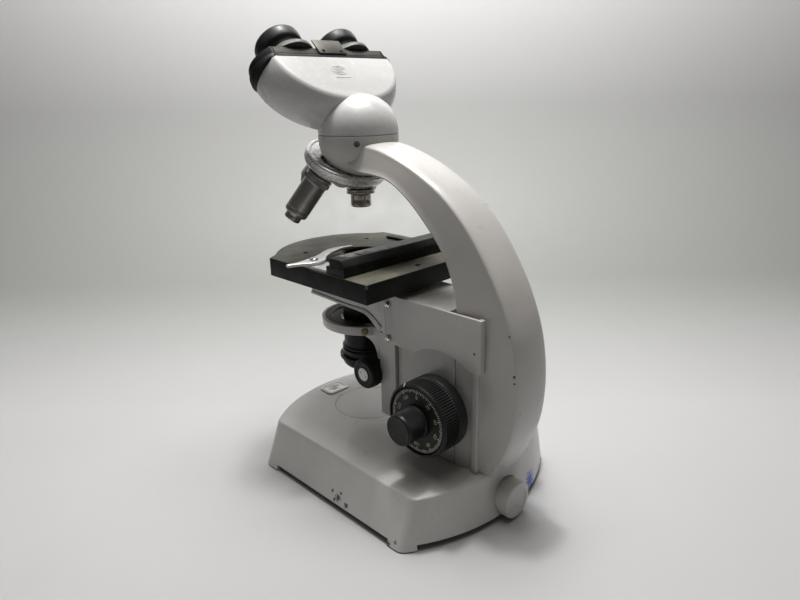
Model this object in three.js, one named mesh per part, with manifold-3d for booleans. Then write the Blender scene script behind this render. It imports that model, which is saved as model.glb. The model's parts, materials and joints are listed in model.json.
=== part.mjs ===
// Upright laboratory microscope with an inclined binocular head.
// Millimetres, +Z up, the user sits on the -Y side.  Inside the group the vertical optical axis
// is x = y = 0 and the table is z = 0; the group is moved so that the origin of the finished
// part is the middle of its footprint.

import * as THREE from 'three';
import { mergeVertices } from 'three/addons/utils/BufferGeometryUtils.js';
import Module from 'manifold-3d';

const wasm = await Module();
wasm.setup();

// ---------------------------------------------------------------- driving dimensions
const AXIS_Y = -50.67; // optical axis, seen from the middle of the footprint
const GAP = 0.3; // between pieces that touch
const ROUND = 32; // sides of a round piece

const BASE_H = 41.7;
const BASE_WALL = 4;
const BASE_BOTTOM = { half: 93.4, frontY: -76, frontR: 135, rearY: 164.7, rearR: 153, corner: 5 };
const BASE_TOP = { half: 80.7, frontY: -64.3, frontR: 123, rearY: 157.3, rearR: 159, corner: 5 };
const BASE_FLOOR_GAP = 0.6; // the casting's corners stand this far off the table
const BASE_NOTCH_H = 5.5;
const PORT_R = 31.6;
const LAMP = { z: 16.8, capR: 15.2, capY: 156.6, capEndY: 171.6, tubeR: 9, boreR: 10 };

const STAGE = {
  half: 68.1, rearY: 79.1, cornerY: -42.5, frontR: 72.6, frontCy: -5.75, top: 189.7, thick: 15.6,
};
const CARRIER = { half: 28, frontY: 56, rearY: 153.2, bottom: 127.5, top: 169, wall: 2.5, lidY: 122 };
const RAIL = { x: [20, 25.2], y: [143.6, 149], top: 150 }; // upright guides inside the cheeks
const COLUMN = { frontY: 48.3, rearY: 66, bottom: 60, top: 134 };
const HOUSING = { half: 25, frontY: 66.6, rearY: 126.6, top: 147 };
const KNOB = { y: 115.5, z: 88, archR: 48, coarseR: 29.5, fineR: 12.2, drumR: 26 };
const CONDENSER = { ringTop: 132.9, ringH: 8, ringR: 39.2, ringBore: 30, bodyR: 20, lowerR: 22 };
const CONDENSER_KNOB = { y: 38, z: 96, radius: 13, face: 39 };

const SEAM_Z = 290; // joint between the fixed bowl and the swivelling head
const DOME_R = 33.5;
const DOME_H = 32;
const BOWL_Z = 287.4; // centre of the bowl's round underside
const DOME_FULLNESS = 0.9; // 1 is a true hemisphere, less is squarer
const TURRET = {
  apexZ: 301.3, tilt: 26.4, seat: 55.8, ringR: 35.9, upper: 34.9, ringTop: 36, ringEnd: 43.1,
};
const HEAD = { z: 298.7, tilt: 45, half: 19.35, edge: 53.6, a: 60.5, b: 45.5, bulge: 8 };
const EYE = { x: 31, collarR: 23.5, cupR: 20.3, top: 91.2 };

// ---------------------------------------------------------------- solids
function deg(angle) {
  return (angle * Math.PI) / 180;
}

// A closed geometry of three.js as a solid, whichever way its faces were wound.
function solid(geometry) {
  const bare = geometry.clone();
  bare.deleteAttribute('normal');
  bare.deleteAttribute('uv');
  const merged = mergeVertices(bare, 1e-4);
  const p = merged.attributes.position.array;
  const triangles = [];
  let volume = 0;
  for (let i = 0; i < merged.index.count; i += 3) {
    const [a, b, c] = merged.index.array.slice(i, i + 3);
    if (a === b || b === c || a === c) continue;
    triangles.push(a, b, c);
    const [ax, ay, az] = p.slice(3 * a, 3 * a + 3);
    const [bx, by, bz] = p.slice(3 * b, 3 * b + 3);
    const [cx, cy, cz] = p.slice(3 * c, 3 * c + 3);
    volume += ax * (by * cz - bz * cy) + ay * (bz * cx - bx * cz) + az * (bx * cy - by * cx);
  }
  if (volume < 0) triangles.reverse();
  return new wasm.Manifold(
    new wasm.Mesh({
      numProp: 3,
      vertProperties: new Float32Array(p),
      triVerts: new Uint32Array(triangles),
    }),
  );
}

function geometryOf(shape) {
  const mesh = shape.getMesh();
  const geometry = new THREE.BufferGeometry();
  geometry.setAttribute('position', new THREE.BufferAttribute(mesh.vertProperties, 3));
  geometry.setIndex(new THREE.BufferAttribute(mesh.triVerts, 1));
  geometry.computeVertexNormals();
  return geometry;
}

function box(x, y, z) {
  const geometry = new THREE.BoxGeometry(x[1] - x[0], y[1] - y[0], z[1] - z[0]);
  geometry.translate((x[0] + x[1]) / 2, (y[0] + y[1]) / 2, (z[0] + z[1]) / 2);
  return geometry;
}

// A body turned about Z from [radius, z] corners; it is closed on itself or on the axis.
function turned(profile, sides = ROUND) {
  const points = profile.map(([r, z]) => new THREE.Vector2(r, z));
  if (profile[0][0] > 0 || profile[profile.length - 1][0] > 0) points.push(points[0].clone());
  return new THREE.LatheGeometry(points, sides).rotateX(Math.PI / 2).scale(1, -1, 1);
}

// The same, about the X or Y axis: the profile's second number runs along that axis.
function turnedX(profile, y, z, sides = ROUND) {
  return turned(profile, sides).rotateY(Math.PI / 2).translate(0, y, z);
}

function turnedY(profile, x, z, sides = ROUND) {
  return turned(profile, sides).rotateX(-Math.PI / 2).translate(x, 0, z);
}

function rod(radius, low, high) {
  return [[0, low], [radius, low], [radius, high], [0, high]];
}

function tube(inner, outer, low, high) {
  return [[inner, low], [outer, low], [outer, high], [inner, high]];
}

// A skin over rings of equal length, with a flat fan at each end.
function loft(rings) {
  const count = rings[0].length;
  const positions = rings.flat().flatMap((v) => [v.x, v.y, v.z]);
  const index = [];
  for (let k = 0; k + 1 < rings.length; k++) {
    for (let i = 0; i < count; i++) {
      const a = k * count + i;
      const b = k * count + ((i + 1) % count);
      index.push(a, b, b + count, a, b + count, a + count);
    }
  }
  for (const [start, flip] of [[0, true], [(rings.length - 1) * count, false]]) {
    const flat = ringTriangles(rings[start / count]);
    for (const [a, b, c] of flat) {
      index.push(...(flip ? [start + c, start + b, start + a] : [start + a, start + b, start + c]));
    }
  }
  const geometry = new THREE.BufferGeometry();
  geometry.setAttribute('position', new THREE.Float32BufferAttribute(positions, 3));
  geometry.setIndex(index);
  return geometry;
}

// Triangles over a flat ring, wound the way the ring runs.
function ringTriangles(ring) {
  const normal = new THREE.Vector3();
  for (let i = 0; i < ring.length; i++) {
    normal.add(ring[i].clone().cross(ring[(i + 1) % ring.length]));
  }
  normal.normalize();
  const u = Math.abs(normal.x) < 0.9 ? new THREE.Vector3(1, 0, 0) : new THREE.Vector3(0, 1, 0);
  const right = u.cross(normal).normalize();
  const up = normal.clone().cross(right);
  const flat = ring.map((v) => new THREE.Vector2(v.dot(right), v.dot(up)));
  return THREE.ShapeUtils.triangulateShape(flat, []);
}

// A flat shape in X and Y, extruded up from z[0] to z[1].
function plate(shape, z, curveSegments = 16) {
  const options = { depth: z[1] - z[0], bevelEnabled: false, curveSegments };
  return new THREE.ExtrudeGeometry(shape, options).translate(0, 0, z[0]);
}

// An outline in Y and Z, extruded across X from -half to +half.
function sideProfile(points, half) {
  const shape = new THREE.Shape(points.map(([y, z]) => new THREE.Vector2(y, z)));
  const geometry = new THREE.ExtrudeGeometry(shape, { depth: 2 * half, bevelEnabled: false });
  const turn = new THREE.Matrix4().makeBasis(
    new THREE.Vector3(0, 1, 0),
    new THREE.Vector3(0, 0, 1),
    new THREE.Vector3(1, 0, 0),
  );
  return geometry.applyMatrix4(turn).translate(-half, 0, 0);
}

function cut(body, ...tools) {
  return tools.reduce((left, tool) => left.subtract(solid(tool)), body);
}

function join(body, ...others) {
  return others.reduce((sum, other) => sum.add(solid(other)), body);
}

// ---------------------------------------------------------------- materials and the scene
const finish = {
  paint: { color: 0xc9c6c0, roughness: 0.42, metalness: 0.05 },
  stageBlack: { color: 0x1c1c1b, roughness: 0.5, metalness: 0.2 },
  knobBlack: { color: 0x17191a, roughness: 0.45, metalness: 0.1 },
  rubber: { color: 0x1a1a1a, roughness: 0.8, metalness: 0 },
  chrome: { color: 0xc8cacb, roughness: 0.16, metalness: 1 },
  steel: { color: 0x9a9b99, roughness: 0.35, metalness: 1 },
  greyMetal: { color: 0x6f6b65, roughness: 0.4, metalness: 0.7 },
  brass: { color: 0x8a774c, roughness: 0.35, metalness: 1 },
  glass: { color: 0xdfe8ea, roughness: 0.05, metalness: 0 },
  mirror: { color: 0xe8eaec, roughness: 0.03, metalness: 1 },
};

const microscope = new THREE.Group();
microscope.position.y = AXIS_Y;

function add(name, shape, look, parent = microscope) {
  const body = shape instanceof THREE.BufferGeometry ? solid(shape) : shape;
  const mesh = new THREE.Mesh(geometryOf(body), new THREE.MeshStandardMaterial(finish[look]));
  mesh.name = name;
  parent.add(mesh);
  return mesh;
}

// ---------------------------------------------------------------- base
// Half the plan is a bowed front, a straight side and a bowed rear with softened corners.
function basePlan({ half, frontY, frontR, rearY, rearR, corner }, inset = 0) {
  const side = half - inset;
  const front = frontR - inset;
  const rear = rearR - inset;
  const frontCentre = frontY + frontR;
  const rearCentre = rearY - rearR;
  const frontTurn = Math.asin(side / front);
  const rearTurn = Math.asin(side / rear);
  const arc = (centre, radius, from, to) =>
    Array.from({ length: 9 }, (_, i) => {
      const angle = from + ((to - from) * i) / 8;
      return new THREE.Vector2(radius * Math.sin(angle), centre - radius * Math.cos(angle));
    });
  const round = (tip, before, after) =>
    new THREE.QuadraticBezierCurve(before, tip, after).getPoints(5);
  const frontCut = corner / front;
  const rearCut = corner / rear;
  const frontTip = new THREE.Vector2(side, frontCentre - front * Math.cos(frontTurn));
  const rearTip = new THREE.Vector2(side, rearCentre + rear * Math.cos(rearTurn));
  const frontArc = arc(frontCentre, front, -frontTurn + frontCut, frontTurn - frontCut);
  const rearArc = arc(rearCentre, rear, Math.PI - rearTurn + rearCut, Math.PI + rearTurn - rearCut);
  const up = new THREE.Vector2(0, corner);
  const right = [
    ...round(frontTip, frontArc[8], frontTip.clone().add(up)),
    ...round(rearTip, rearTip.clone().sub(up), rearArc[0]),
  ];
  const left = [...right].reverse().map((v) => new THREE.Vector2(-v.x, v.y));
  return [...frontArc.slice(1, 8), ...right, ...rearArc.slice(1, 8), ...left];
}

function atHeight(plan, z) {
  return plan.map((v) => new THREE.Vector3(v.x, v.y, z));
}

function baseBetween(t) {
  const mix = {};
  for (const key of Object.keys(BASE_TOP)) {
    mix[key] = BASE_BOTTOM[key] + (BASE_TOP[key] - BASE_BOTTOM[key]) * t;
  }
  return mix;
}

function baseLayer(z, inset = 0) {
  return atHeight(basePlan(baseBetween(z / BASE_H), inset), z);
}

function buildBase() {
  const ceiling = BASE_H - 5;
  const soft = 1.6;
  const outer = loft([
    baseLayer(BASE_FLOOR_GAP),
    baseLayer(BASE_H - soft),
    baseLayer(BASE_H - soft * 0.3, soft * 0.35),
    baseLayer(BASE_H, soft),
  ]);
  const hollow = loft([baseLayer(-1, BASE_WALL), baseLayer(ceiling, BASE_WALL)]);
  const skin = solid(outer);
  const boss = solid(turnedY(rod(LAMP.capR + 3, 140, 166), 0, LAMP.z)).intersect(skin);
  let body = cut(skin, hollow).add(boss);
  body = cut(
    body,
    turned(rod(PORT_R + GAP, BASE_H - 3.7, BASE_H + 1)),
    turned(rod(PORT_R - 3.5, ceiling - 1, BASE_H)),
    turnedY(rod(LAMP.capR + 0.4, LAMP.capY - GAP, 180), 0, LAMP.z),
    turnedY(rod(LAMP.boreR, 130, 170), 0, LAMP.z),
    box([-110, 110], [-23.5, 119], [-1, BASE_NOTCH_H]),
    box([-82, 82], [-90, 190], [-1, BASE_NOTCH_H]),
  );
  add('base_casting', body, 'paint');

  const sheet = loft([
    baseLayer(BASE_NOTCH_H + 0.5, BASE_WALL + 0.5),
    baseLayer(BASE_NOTCH_H + 2, BASE_WALL + 0.5),
  ]);
  const socketGap = box([-24, 24], [137, 170], [0, 10]);
  const bulbGap = box([-8, 8], [118, 140], [0, 10]);
  const plateBody = cut(solid(sheet), socketGap, bulbGap);
  add('base_bottom_plate', plateBody, 'stageBlack');

  const corners = [[70, -16], [-70, -16], [72, 118], [-72, 118]];
  corners.forEach(([x, y], i) => {
    const pad = turned([[0, 0], [8, 0], [9, 1], [9, BASE_NOTCH_H + 0.2], [0, BASE_NOTCH_H + 0.2]], 20);
    add(`foot_${i + 1}`, pad.translate(x, y, 0), 'rubber');
  });
}

function buildPort() {
  const low = BASE_H - 3.4;
  const split = BASE_H - 2;
  add('light_port_glass', turned(rod(PORT_R - 0.3, low, split - GAP), 28), 'glass');
  add('light_port_cover', turned(rod(PORT_R, split, BASE_H), 48), 'paint');
  const mirror = box([-14, 14], [-19, 19], [-1.5, 1.5]).rotateX(deg(45)).translate(0, 0, 23);
  add('light_mirror', mirror, 'mirror');
  const badge = box([-8, 15.5], [-55.8, -38], [BASE_H + GAP, BASE_H + 1.6]);
  add('base_badge', badge, 'steel');
}

function buildLamp() {
  const { z, capR, capY, capEndY, tubeR } = LAMP;
  const cap = [[0, capY], [capR, capY], [capR, capEndY - 1.5], [capR - 1.5, capEndY], [0, capEndY]];
  add('lamp_cap', turnedY(cap, 0, z), 'paint');
  add('lamp_socket', turnedY(tube(7, tubeR, 122, capY - GAP), 0, z, 24), 'stageBlack');
  const bulb = [[0, 104], [3.5, 105], [6, 109], [6, 114], [4, 120], [4, 140], [0, 140]];
  add('lamp_bulb', turnedY(bulb, 0, z, 20), 'glass');
}

// ---------------------------------------------------------------- arm and nose bowl
// Inner edge, side ridge and crowned back of the arm, as pairs of [y, z] seen from the side.
const ARM_STATIONS = [
  { inner: [6, 273], ridge: [6, 281.5], back: [6, 286] },
  { inner: [22, 263], ridge: [22, 281], back: [22, 285.5] },
  { inner: [40, 261], ridge: [40, 279], back: [40, 283.5] },
  { inner: [58, 258], ridge: [64, 272], back: [65, 276] },
  { inner: [78, 246.5], ridge: [88, 261.5], back: [90, 265] },
  { inner: [98, 228.5], ridge: [110, 248], back: [112.5, 251.5] },
  { inner: [113, 211], ridge: [131, 228.5], back: [134, 231.5] },
  { inner: [122, 193], ridge: [149, 204.5], back: [152.5, 206.5] },
  { inner: [127, 172], ridge: [162.5, 181], back: [166, 182] },
  { inner: [127, 146], ridge: [173, 152], back: [176.5, 152.5] },
  { inner: [127, 116], ridge: [177.5, 117], back: [181, 117] },
  { inner: [127, 84], ridge: [174.8, 84], back: [178, 84] },
  { inner: [127, 58], ridge: [166, 58], back: [169, 58] },
  { inner: [127, BASE_H + GAP], ridge: [158.5, BASE_H + GAP], back: [161, BASE_H + GAP] },
];
const ARM_HALF = 25; // at the inner edge
const RIDGE_HALF = 19.5;

function armCurve(key) {
  const points = ARM_STATIONS.map((s) => new THREE.Vector3(0, s[key][0], s[key][1]));
  return new THREE.CatmullRomCurve3(points, false, 'centripetal');
}

function buildArm() {
  const inner = armCurve('inner');
  const ridge = armCurve('ridge');
  const back = armCurve('back');
  const steps = 2 * (ARM_STATIONS.length - 1);
  const rings = [];
  for (let k = 0; k <= steps; k++) {
    const t = k / steps;
    const low = inner.getPoint(t);
    const edge = ridge.getPoint(t);
    const crown = back.getPoint(t);
    const ring = [-ARM_HALF, ARM_HALF].map((x) => new THREE.Vector3(x, low.y, low.z));
    for (let i = 0; i <= 6; i++) {
      const turn = (Math.PI * i) / 6;
      const point = edge.clone().lerp(crown, Math.sin(turn));
      point.x = RIDGE_HALF * Math.cos(turn);
      ring.push(point);
    }
    rings.push(ring);
  }
  const bowlProfile = [[0, SEAM_Z], [DOME_R, SEAM_Z]];
  for (let i = 0; i < 10; i++) {
    const turn = deg(9 * i);
    bowlProfile.push([DOME_R * Math.cos(turn), BOWL_Z - DOME_R * Math.sin(turn)]);
  }
  bowlProfile.push([0, BOWL_Z - DOME_R]);
  const tilt = new THREE.Matrix4().makeRotationX(-deg(TURRET.tilt)).setPosition(0, 0, TURRET.apexZ);
  const above = box([-60, 60], [-80, 40], [-TURRET.upper + 0.6, 40]).applyMatrix4(tilt);
  const bowl = solid(turned(bowlProfile)).intersect(solid(above));
  const pivotHole = turned(rod(4.9, -60, -29)).applyMatrix4(tilt);
  let arm = solid(loft(rings)).add(bowl);
  for (const side of [-1, 1]) {
    const rail = box(RAIL.x, RAIL.y, [BASE_H + GAP, RAIL.top]);
    arm = arm.add(solid(rail.scale(side, 1, 1)));
  }
  arm = cut(
    arm,
    turned(rod(8, 230, 300), 24),
    pivotHole,
    clampHole(2.3, DOME_R - 9),
    box([-30, 30], [100, 200], [BASE_H - 10, BASE_H + GAP]),
  );
  add('arm_casting', arm, 'paint');
}

// The clamp screw enters the bowl from the rear right, pointing at the optical axis.
const CLAMP_TURN = deg(46);

function clampHole(radius, from, to = 60) {
  return turnedX(rod(radius, from, to), 0, SEAM_Z - 6, 16).rotateZ(CLAMP_TURN);
}

// ---------------------------------------------------------------- focus drive
function buildHousing() {
  const { half, frontY, rearY, top } = HOUSING;
  const body = cut(
    solid(box([-half, half], [frontY, rearY], [BASE_H + GAP, top])),
    box([-14, 14], [frontY - 1, 83], [60, top + 1]),
    turnedX(rod(7, -40, 40), KNOB.y, KNOB.z, 24),
  );
  add('focus_housing', body, 'paint');
  add('coarse_slide', box([-13.5, 13.5], [frontY + 0.1, 82.5], [86, 128]), 'steel');
  const bush = [[7.6, half + GAP], [19, half + GAP], [18, half + 3], [7.6, half + 3]];
  for (const [side, name] of [[1, 'right'], [-1, 'left']]) {
    const flange = turnedX(bush, KNOB.y, KNOB.z, 24).scale(side, 1, 1);
    add(`bearing_flange_${name}`, flange, 'knobBlack');
  }
}

function buildKnobs() {
  const { y, z, coarseR, fineR, drumR } = KNOB;
  const inner = 28.6;
  const coarse = [
    [6.4, inner], [coarseR - 2, inner], [coarseR, inner + 2], [coarseR, 52], [coarseR - 1.3, 56],
    [coarseR - 2.6, 56], [coarseR - 2.6, 52.5], [6.4, 52.5],
  ];
  const drum = [[3.4, 52.9], [drumR, 52.9], [drumR, 54.6], [drumR - 0.4, 55], [3.4, 55]];
  const fine = [[0, 55.3], [fineR + 0.8, 55.3], [fineR, 58], [fineR, 74], [fineR - 1.5, 75.5], [0, 75.5]];
  add('coarse_shaft', turnedX(tube(3.4, 6, -52.2, 52.2), y, z, 24), 'steel');
  add('fine_shaft', turnedX(rod(3, -55, 55), y, z, 16), 'steel');
  for (const [side, name] of [[1, 'right'], [-1, 'left']]) {
    add(`coarse_knob_${name}`, turnedX(coarse, y, z, 32).scale(side, 1, 1), 'knobBlack');
    add(`fine_drum_${name}`, turnedX(drum, y, z, 28).scale(side, 1, 1), 'knobBlack');
    add(`fine_knob_${name}`, turnedX(fine, y, z, 22).scale(side, 1, 1), 'knobBlack');
  }
}

// The moving carrier: a column in front of the housing and two cheeks that straddle it, each
// with an arch that clears the coarse knob when the stage is down.
function buildCarrier() {
  const { half, frontY, rearY, bottom, top, wall, lidY } = CARRIER;
  const column = box([-half, half], [COLUMN.frontY, COLUMN.rearY], [COLUMN.bottom, COLUMN.top]);
  const upper = box([-half, half], [frontY, COLUMN.rearY], [COLUMN.top - 1, top]);
  const lid = box([-half, half], [COLUMN.rearY - 1, lidY], [top - 4, top]);
  let body = join(solid(column), upper, lid);
  for (const side of [-1, 1]) {
    const cheek = box([half - wall, half], [COLUMN.rearY - 4, rearY], [bottom, top]);
    const lip = box([half - 5, half], [RAIL.y[1] + 0.6, rearY], [bottom, top]);
    body = body.add(solid(cheek.scale(side, 1, 1))).add(solid(lip.scale(side, 1, 1)));
  }
  const arch = turnedX(rod(KNOB.archR, -40, 40), KNOB.y, KNOB.z, 56);
  const keepColumn = box([-50, 50], [COLUMN.rearY + 0.5, 200], [0, top - 4.2]);
  body = body.subtract(solid(arch).intersect(solid(keepColumn)));
  add('focus_carrier', body, 'paint');
}

const BRACKET_FOOT_Z = 134.5;
const BRACKET_NOSE_Y = -42.5;
const BRACKET_ARCH = [
  [48, BRACKET_FOOT_Z], [46, BRACKET_FOOT_Z], [42, 138.3], [36, 142.8], [30, 145.2], [20, 146.3],
  [0, 147], [BRACKET_NOSE_Y, 148.5],
];

function buildBracket() {
  const top = STAGE.top - STAGE.thick - GAP;
  const rear = CARRIER.frontY - GAP;
  const outline = [...BRACKET_ARCH, [BRACKET_NOSE_Y, top], [rear, top], [rear, BRACKET_FOOT_Z]];
  const body = cut(
    solid(sideProfile(outline, CARRIER.half)),
    box([-23.5, 23.5], [-38, 48], [100, top - 4]),
    turned(rod(24, 100, top + 2), 28),
  );
  add('stage_bracket', body, 'paint');
  const screws = [['upper', 59.5, 160.7], ['lower', 59.2, 131.6]];
  for (const [name, y, z] of screws) {
    const head = [[0, 28.3], [2.9, 28.3], [2.9, 29.4], [1.9, 30.4], [0, 30.4]];
    add(`bracket_screw_${name}`, turnedX(head, y, z, 16), 'chrome');
  }
}

function stageShape() {
  const { half, rearY, frontR, frontCy, cornerY } = STAGE;
  const meet = 52;
  const turn = Math.asin(meet / frontR);
  const shape = new THREE.Shape();
  shape.moveTo(half, rearY);
  shape.lineTo(-half, rearY);
  shape.lineTo(-half, cornerY);
  shape.lineTo(-meet, frontCy - frontR * Math.cos(turn));
  shape.absarc(0, frontCy, frontR, -Math.PI / 2 - turn, -Math.PI / 2 + turn, false);
  shape.lineTo(half, cornerY);
  return shape;
}

function buildStage() {
  const { top, thick } = STAGE;
  const pin = (x, y) => turned(rod(1.9, top - 3, top + 1), 12).translate(x, y, 0);
  const body = cut(
    solid(plate(stageShape(), [top - thick, top], 28)),
    turned(rod(17, top - thick - 1, top + 1)),
    pin(36.5, -35),
    pin(-36.5, -35),
    pin(2, 68),
  );
  add('stage_plate', body, 'stageBlack');
}

const LEVER_LINE = [[83, 3], [71, 6], [58, 7], [44, -1], [30, -8.5], [18, -10.5], [5, -8]];
const LEVER_PIVOT = [59, 7];

// The slide rest: a bar with a step in front of it that carries the lever's pivot.
function buildSlideHolder() {
  const low = STAGE.top + GAP;
  let bar = join(
    solid(box([-55, 66.5], [32, 53.5], [low, 203])),
    box([50, 67], [-2, 34], [low, low + 2.2]),
    box([-54, -49], [-22, 34], [low, low + 2.2]),
  );
  const [pivotX, pivotY] = LEVER_PIVOT;
  const pivotBore = turned(rod(2.3, 180, 200), 12).translate(pivotX, pivotY, 0);
  bar = cut(bar, box([-60, 70], [31, 36], [196, 204]), pivotBore);
  add('slide_rest_bar', bar, 'stageBlack');
  const z = [low + 2.6, low + 5];
  const curve = new THREE.CatmullRomCurve3(
    LEVER_LINE.map(([x, y]) => new THREE.Vector3(x, y, 0)),
  );
  const left = [];
  const right = [];
  for (let i = 0; i <= 20; i++) {
    const t = i / 20;
    const p = curve.getPoint(t);
    const d = curve.getTangent(t);
    const pivotSwell = 5.6 * Math.exp(-(((t - 0.32) / 0.15) ** 2));
    const tipSwell = 2.4 * Math.exp(-(((t - 0.68) / 0.2) ** 2));
    const w = 1.8 + pivotSwell + tipSwell;
    left.push(new THREE.Vector2(p.x - d.y * w, p.y + d.x * w));
    right.unshift(new THREE.Vector2(p.x + d.y * w, p.y - d.x * w));
  }
  const lever = cut(solid(plate(new THREE.Shape([...left, ...right]), z)), pivotBore);
  add('slide_lever', lever, 'chrome');
  const headTop = z[1] + 1.8;
  const screw = [
    [0, low - 0.1], [2, low - 0.1], [2, z[1] + GAP], [3.6, z[1] + GAP], [3.2, headTop], [0, headTop],
  ];
  add('lever_pivot_screw', turned(screw, 20).translate(pivotX, pivotY, 0), 'chrome');
}

// ---------------------------------------------------------------- condenser
function buildCondenser() {
  const { ringTop, ringH, ringR, ringBore, bodyR, lowerR } = CONDENSER;
  const low = ringTop - ringH;
  const rear = COLUMN.frontY - GAP;
  const webSide = [
    [20, ringTop], [20, 121.5], [27, 120], [32, 117], [35, 112], [36.5, 104.6],
    [rear, 104.6], [rear, ringTop],
  ];
  let carrier = join(solid(turned(rod(ringR, low, ringTop), 36)), sideProfile(webSide, 20.8));
  carrier = cut(carrier, turned(rod(22.5, 100, ringTop + 1)));
  carrier = cut(carrier, turned(rod(ringBore, ringTop - 2, ringTop + 1)));
  carrier = cut(carrier, condenserScrew(2.2, 21, 60));
  add('condenser_carrier', carrier, 'paint');
  add('condenser_clamp_screw', condenserScrew(1.9, 26, ringR + 1.4), 'brass');
  const body = [
    [0, 84], [lowerR - 1.5, 84], [lowerR, 85.5], [lowerR, 100], [lowerR - 1, 101.5], [bodyR, 102.5],
    [bodyR, 166], [15.5, 168.5], [10, 168.5], [9.5, 167.3], [0, 167.3],
  ];
  add('condenser_body', turned(body), 'knobBlack');
  const lens = [[0, 167.6], [9, 167.6], [9, 168.4], [5, 169.6], [0, 170]];
  add('condenser_top_lens', turned(lens, 28), 'glass');
  const lever = join(
    solid(turned(tube(lowerR + 0.4, lowerR + 2.6, 92, 95), 28)),
    box([-1.2, 1.2], [lowerR + 2, lowerR + 13], [92.6, 94.4]).rotateZ(deg(160)),
  );
  add('iris_lever', lever, 'chrome');

  const { y, z, radius, face } = CONDENSER_KNOB;
  const block = cut(
    solid(box([21.6, 27.5], [39.5, COLUMN.frontY - GAP], [86, 104])),
    turnedX(rod(4.4, 20, 40), y, z, 20),
  );
  add('condenser_pinion_block', block, 'knobBlack');
  const knob = [
    [0, 21.6], [4, 21.6], [4, 28], [radius, 28], [radius, face - 1.5], [radius - 1.5, face], [0, face],
  ];
  add('condenser_knob', turnedX(knob, y, z, 32), 'knobBlack');
}

function condenserScrew(radius, from, to) {
  const z = CONDENSER.ringTop - CONDENSER.ringH / 2;
  return turnedX(rod(radius, from, to), 0, z, 16).rotateZ(deg(47));
}

// ---------------------------------------------------------------- nosepiece
function objective(profile, quarter, name, turret) {
  const index = new THREE.Group();
  index.rotation.z = -quarter * (Math.PI / 2);
  const splay = new THREE.Group();
  splay.rotation.x = deg(TURRET.tilt);
  index.add(splay);
  turret.add(index);
  const start = TURRET.seat + GAP;
  const shape = turned(profile.map(([r, q]) => [r, -start - q]), 22);
  add(name, shape, name === 'objective_scan' ? 'greyMetal' : 'chrome', splay);
}

function buildNosepiece() {
  const { apexZ, tilt, seat, ringR, upper, ringTop, ringEnd } = TURRET;
  const turret = new THREE.Group();
  turret.position.z = apexZ;
  turret.rotation.x = -deg(tilt);
  microscope.add(turret);

  const seatR = seat * Math.sin(deg(tilt));
  const seatS = seat * Math.cos(deg(tilt));
  const cone = (r) => seatS - (r - seatR) * Math.tan(deg(tilt));
  const profile = [
    [4.9, upper], [ringR - 1, upper], [ringR, ringTop], [ringR, ringEnd],
    [34.4, cone(34.4)], [9, cone(9)], [4.9, cone(9)],
  ];
  let disc = solid(turned(profile.map(([r, s]) => [r, -s]), 40));
  for (let k = 0; k < 4; k++) {
    const bore = turned(rod(8.2, -seat - 10, -20), 14).rotateX(deg(tilt)).rotateZ((-k * Math.PI) / 2);
    disc = cut(disc, bore);
  }
  add('turret_disc', disc, 'chrome', turret);
  const pinSeat = -cone(9) - 0.4;
  const pin = [[0, -29.4], [4.5, -29.4], [4.5, pinSeat], [8, pinSeat], [7.4, -61], [0, -61]];
  add('turret_pivot', turned(pin, 24), 'steel', turret);

  const scan = [
    [0, 0], [12, 0], [12, 4], [8.7, 5], [8.7, 14.6], [7.9, 15.4], [4, 15.4], [3.6, 14.6], [0, 14.6],
  ];
  const high = [
    [0, 0], [11.8, 0], [11.8, 6.5], [10.4, 8], [10.4, 37.5], [9.6, 39], [7.6, 39], [7.2, 44.4],
    [6.6, 45], [3, 45], [2.6, 44.4], [0, 44.4],
  ];
  const medium = [
    [0, 0], [11.8, 0], [11.8, 6.5], [10, 8], [10, 30], [8.6, 31.5], [6.4, 38.5], [5.8, 39.5],
    [3, 39.5], [2.6, 38.9], [0, 38.9],
  ];
  const low = [
    [0, 0], [11.8, 0], [11.8, 5], [9.6, 6.2], [9.6, 20], [8.8, 21], [4, 21], [3.6, 20.4], [0, 20.4],
  ];
  objective(scan, 0, 'objective_scan', turret);
  objective(high, 1, 'objective_high', turret);
  objective(medium, 2, 'objective_medium', turret);
  objective(low, 3, 'objective_low', turret);
}

// ---------------------------------------------------------------- binocular head
// In the head's own frame X is across, Y faces up and back, and Z runs out along the eyepieces.
function headLayer(height) {
  const { half, edge, a, b, bulge } = HEAD;
  const grow = bulge * (1 - (height / half) ** 2);
  const ring = [];
  for (let i = 0; i <= 22; i++) {
    const turn = Math.PI + (Math.PI * i) / 22;
    const c = Math.cos(turn);
    const s = Math.sin(turn);
    const x = (a + grow) * Math.sign(c) * Math.abs(c) ** 0.94;
    ring.push(new THREE.Vector3(x, height, edge + (b + grow) * s));
  }
  return ring;
}

// A plate across the head whose ends swell like the shell's; a positive low end stays straight.
function bulged(low, high, half) {
  const points = [];
  for (let i = -6; i <= 6; i++) {
    const swell = (HEAD.bulge - 0.4) * (1 - (i / 6) ** 2);
    points.push(new THREE.Vector2(high + swell, (half * i) / 6));
  }
  if (low > 0) {
    points.push(new THREE.Vector2(low, half), new THREE.Vector2(low, -half));
  } else {
    points.push(...points.map((v) => new THREE.Vector2(-v.x, -v.y)));
  }
  return new THREE.Shape(points);
}

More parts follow.
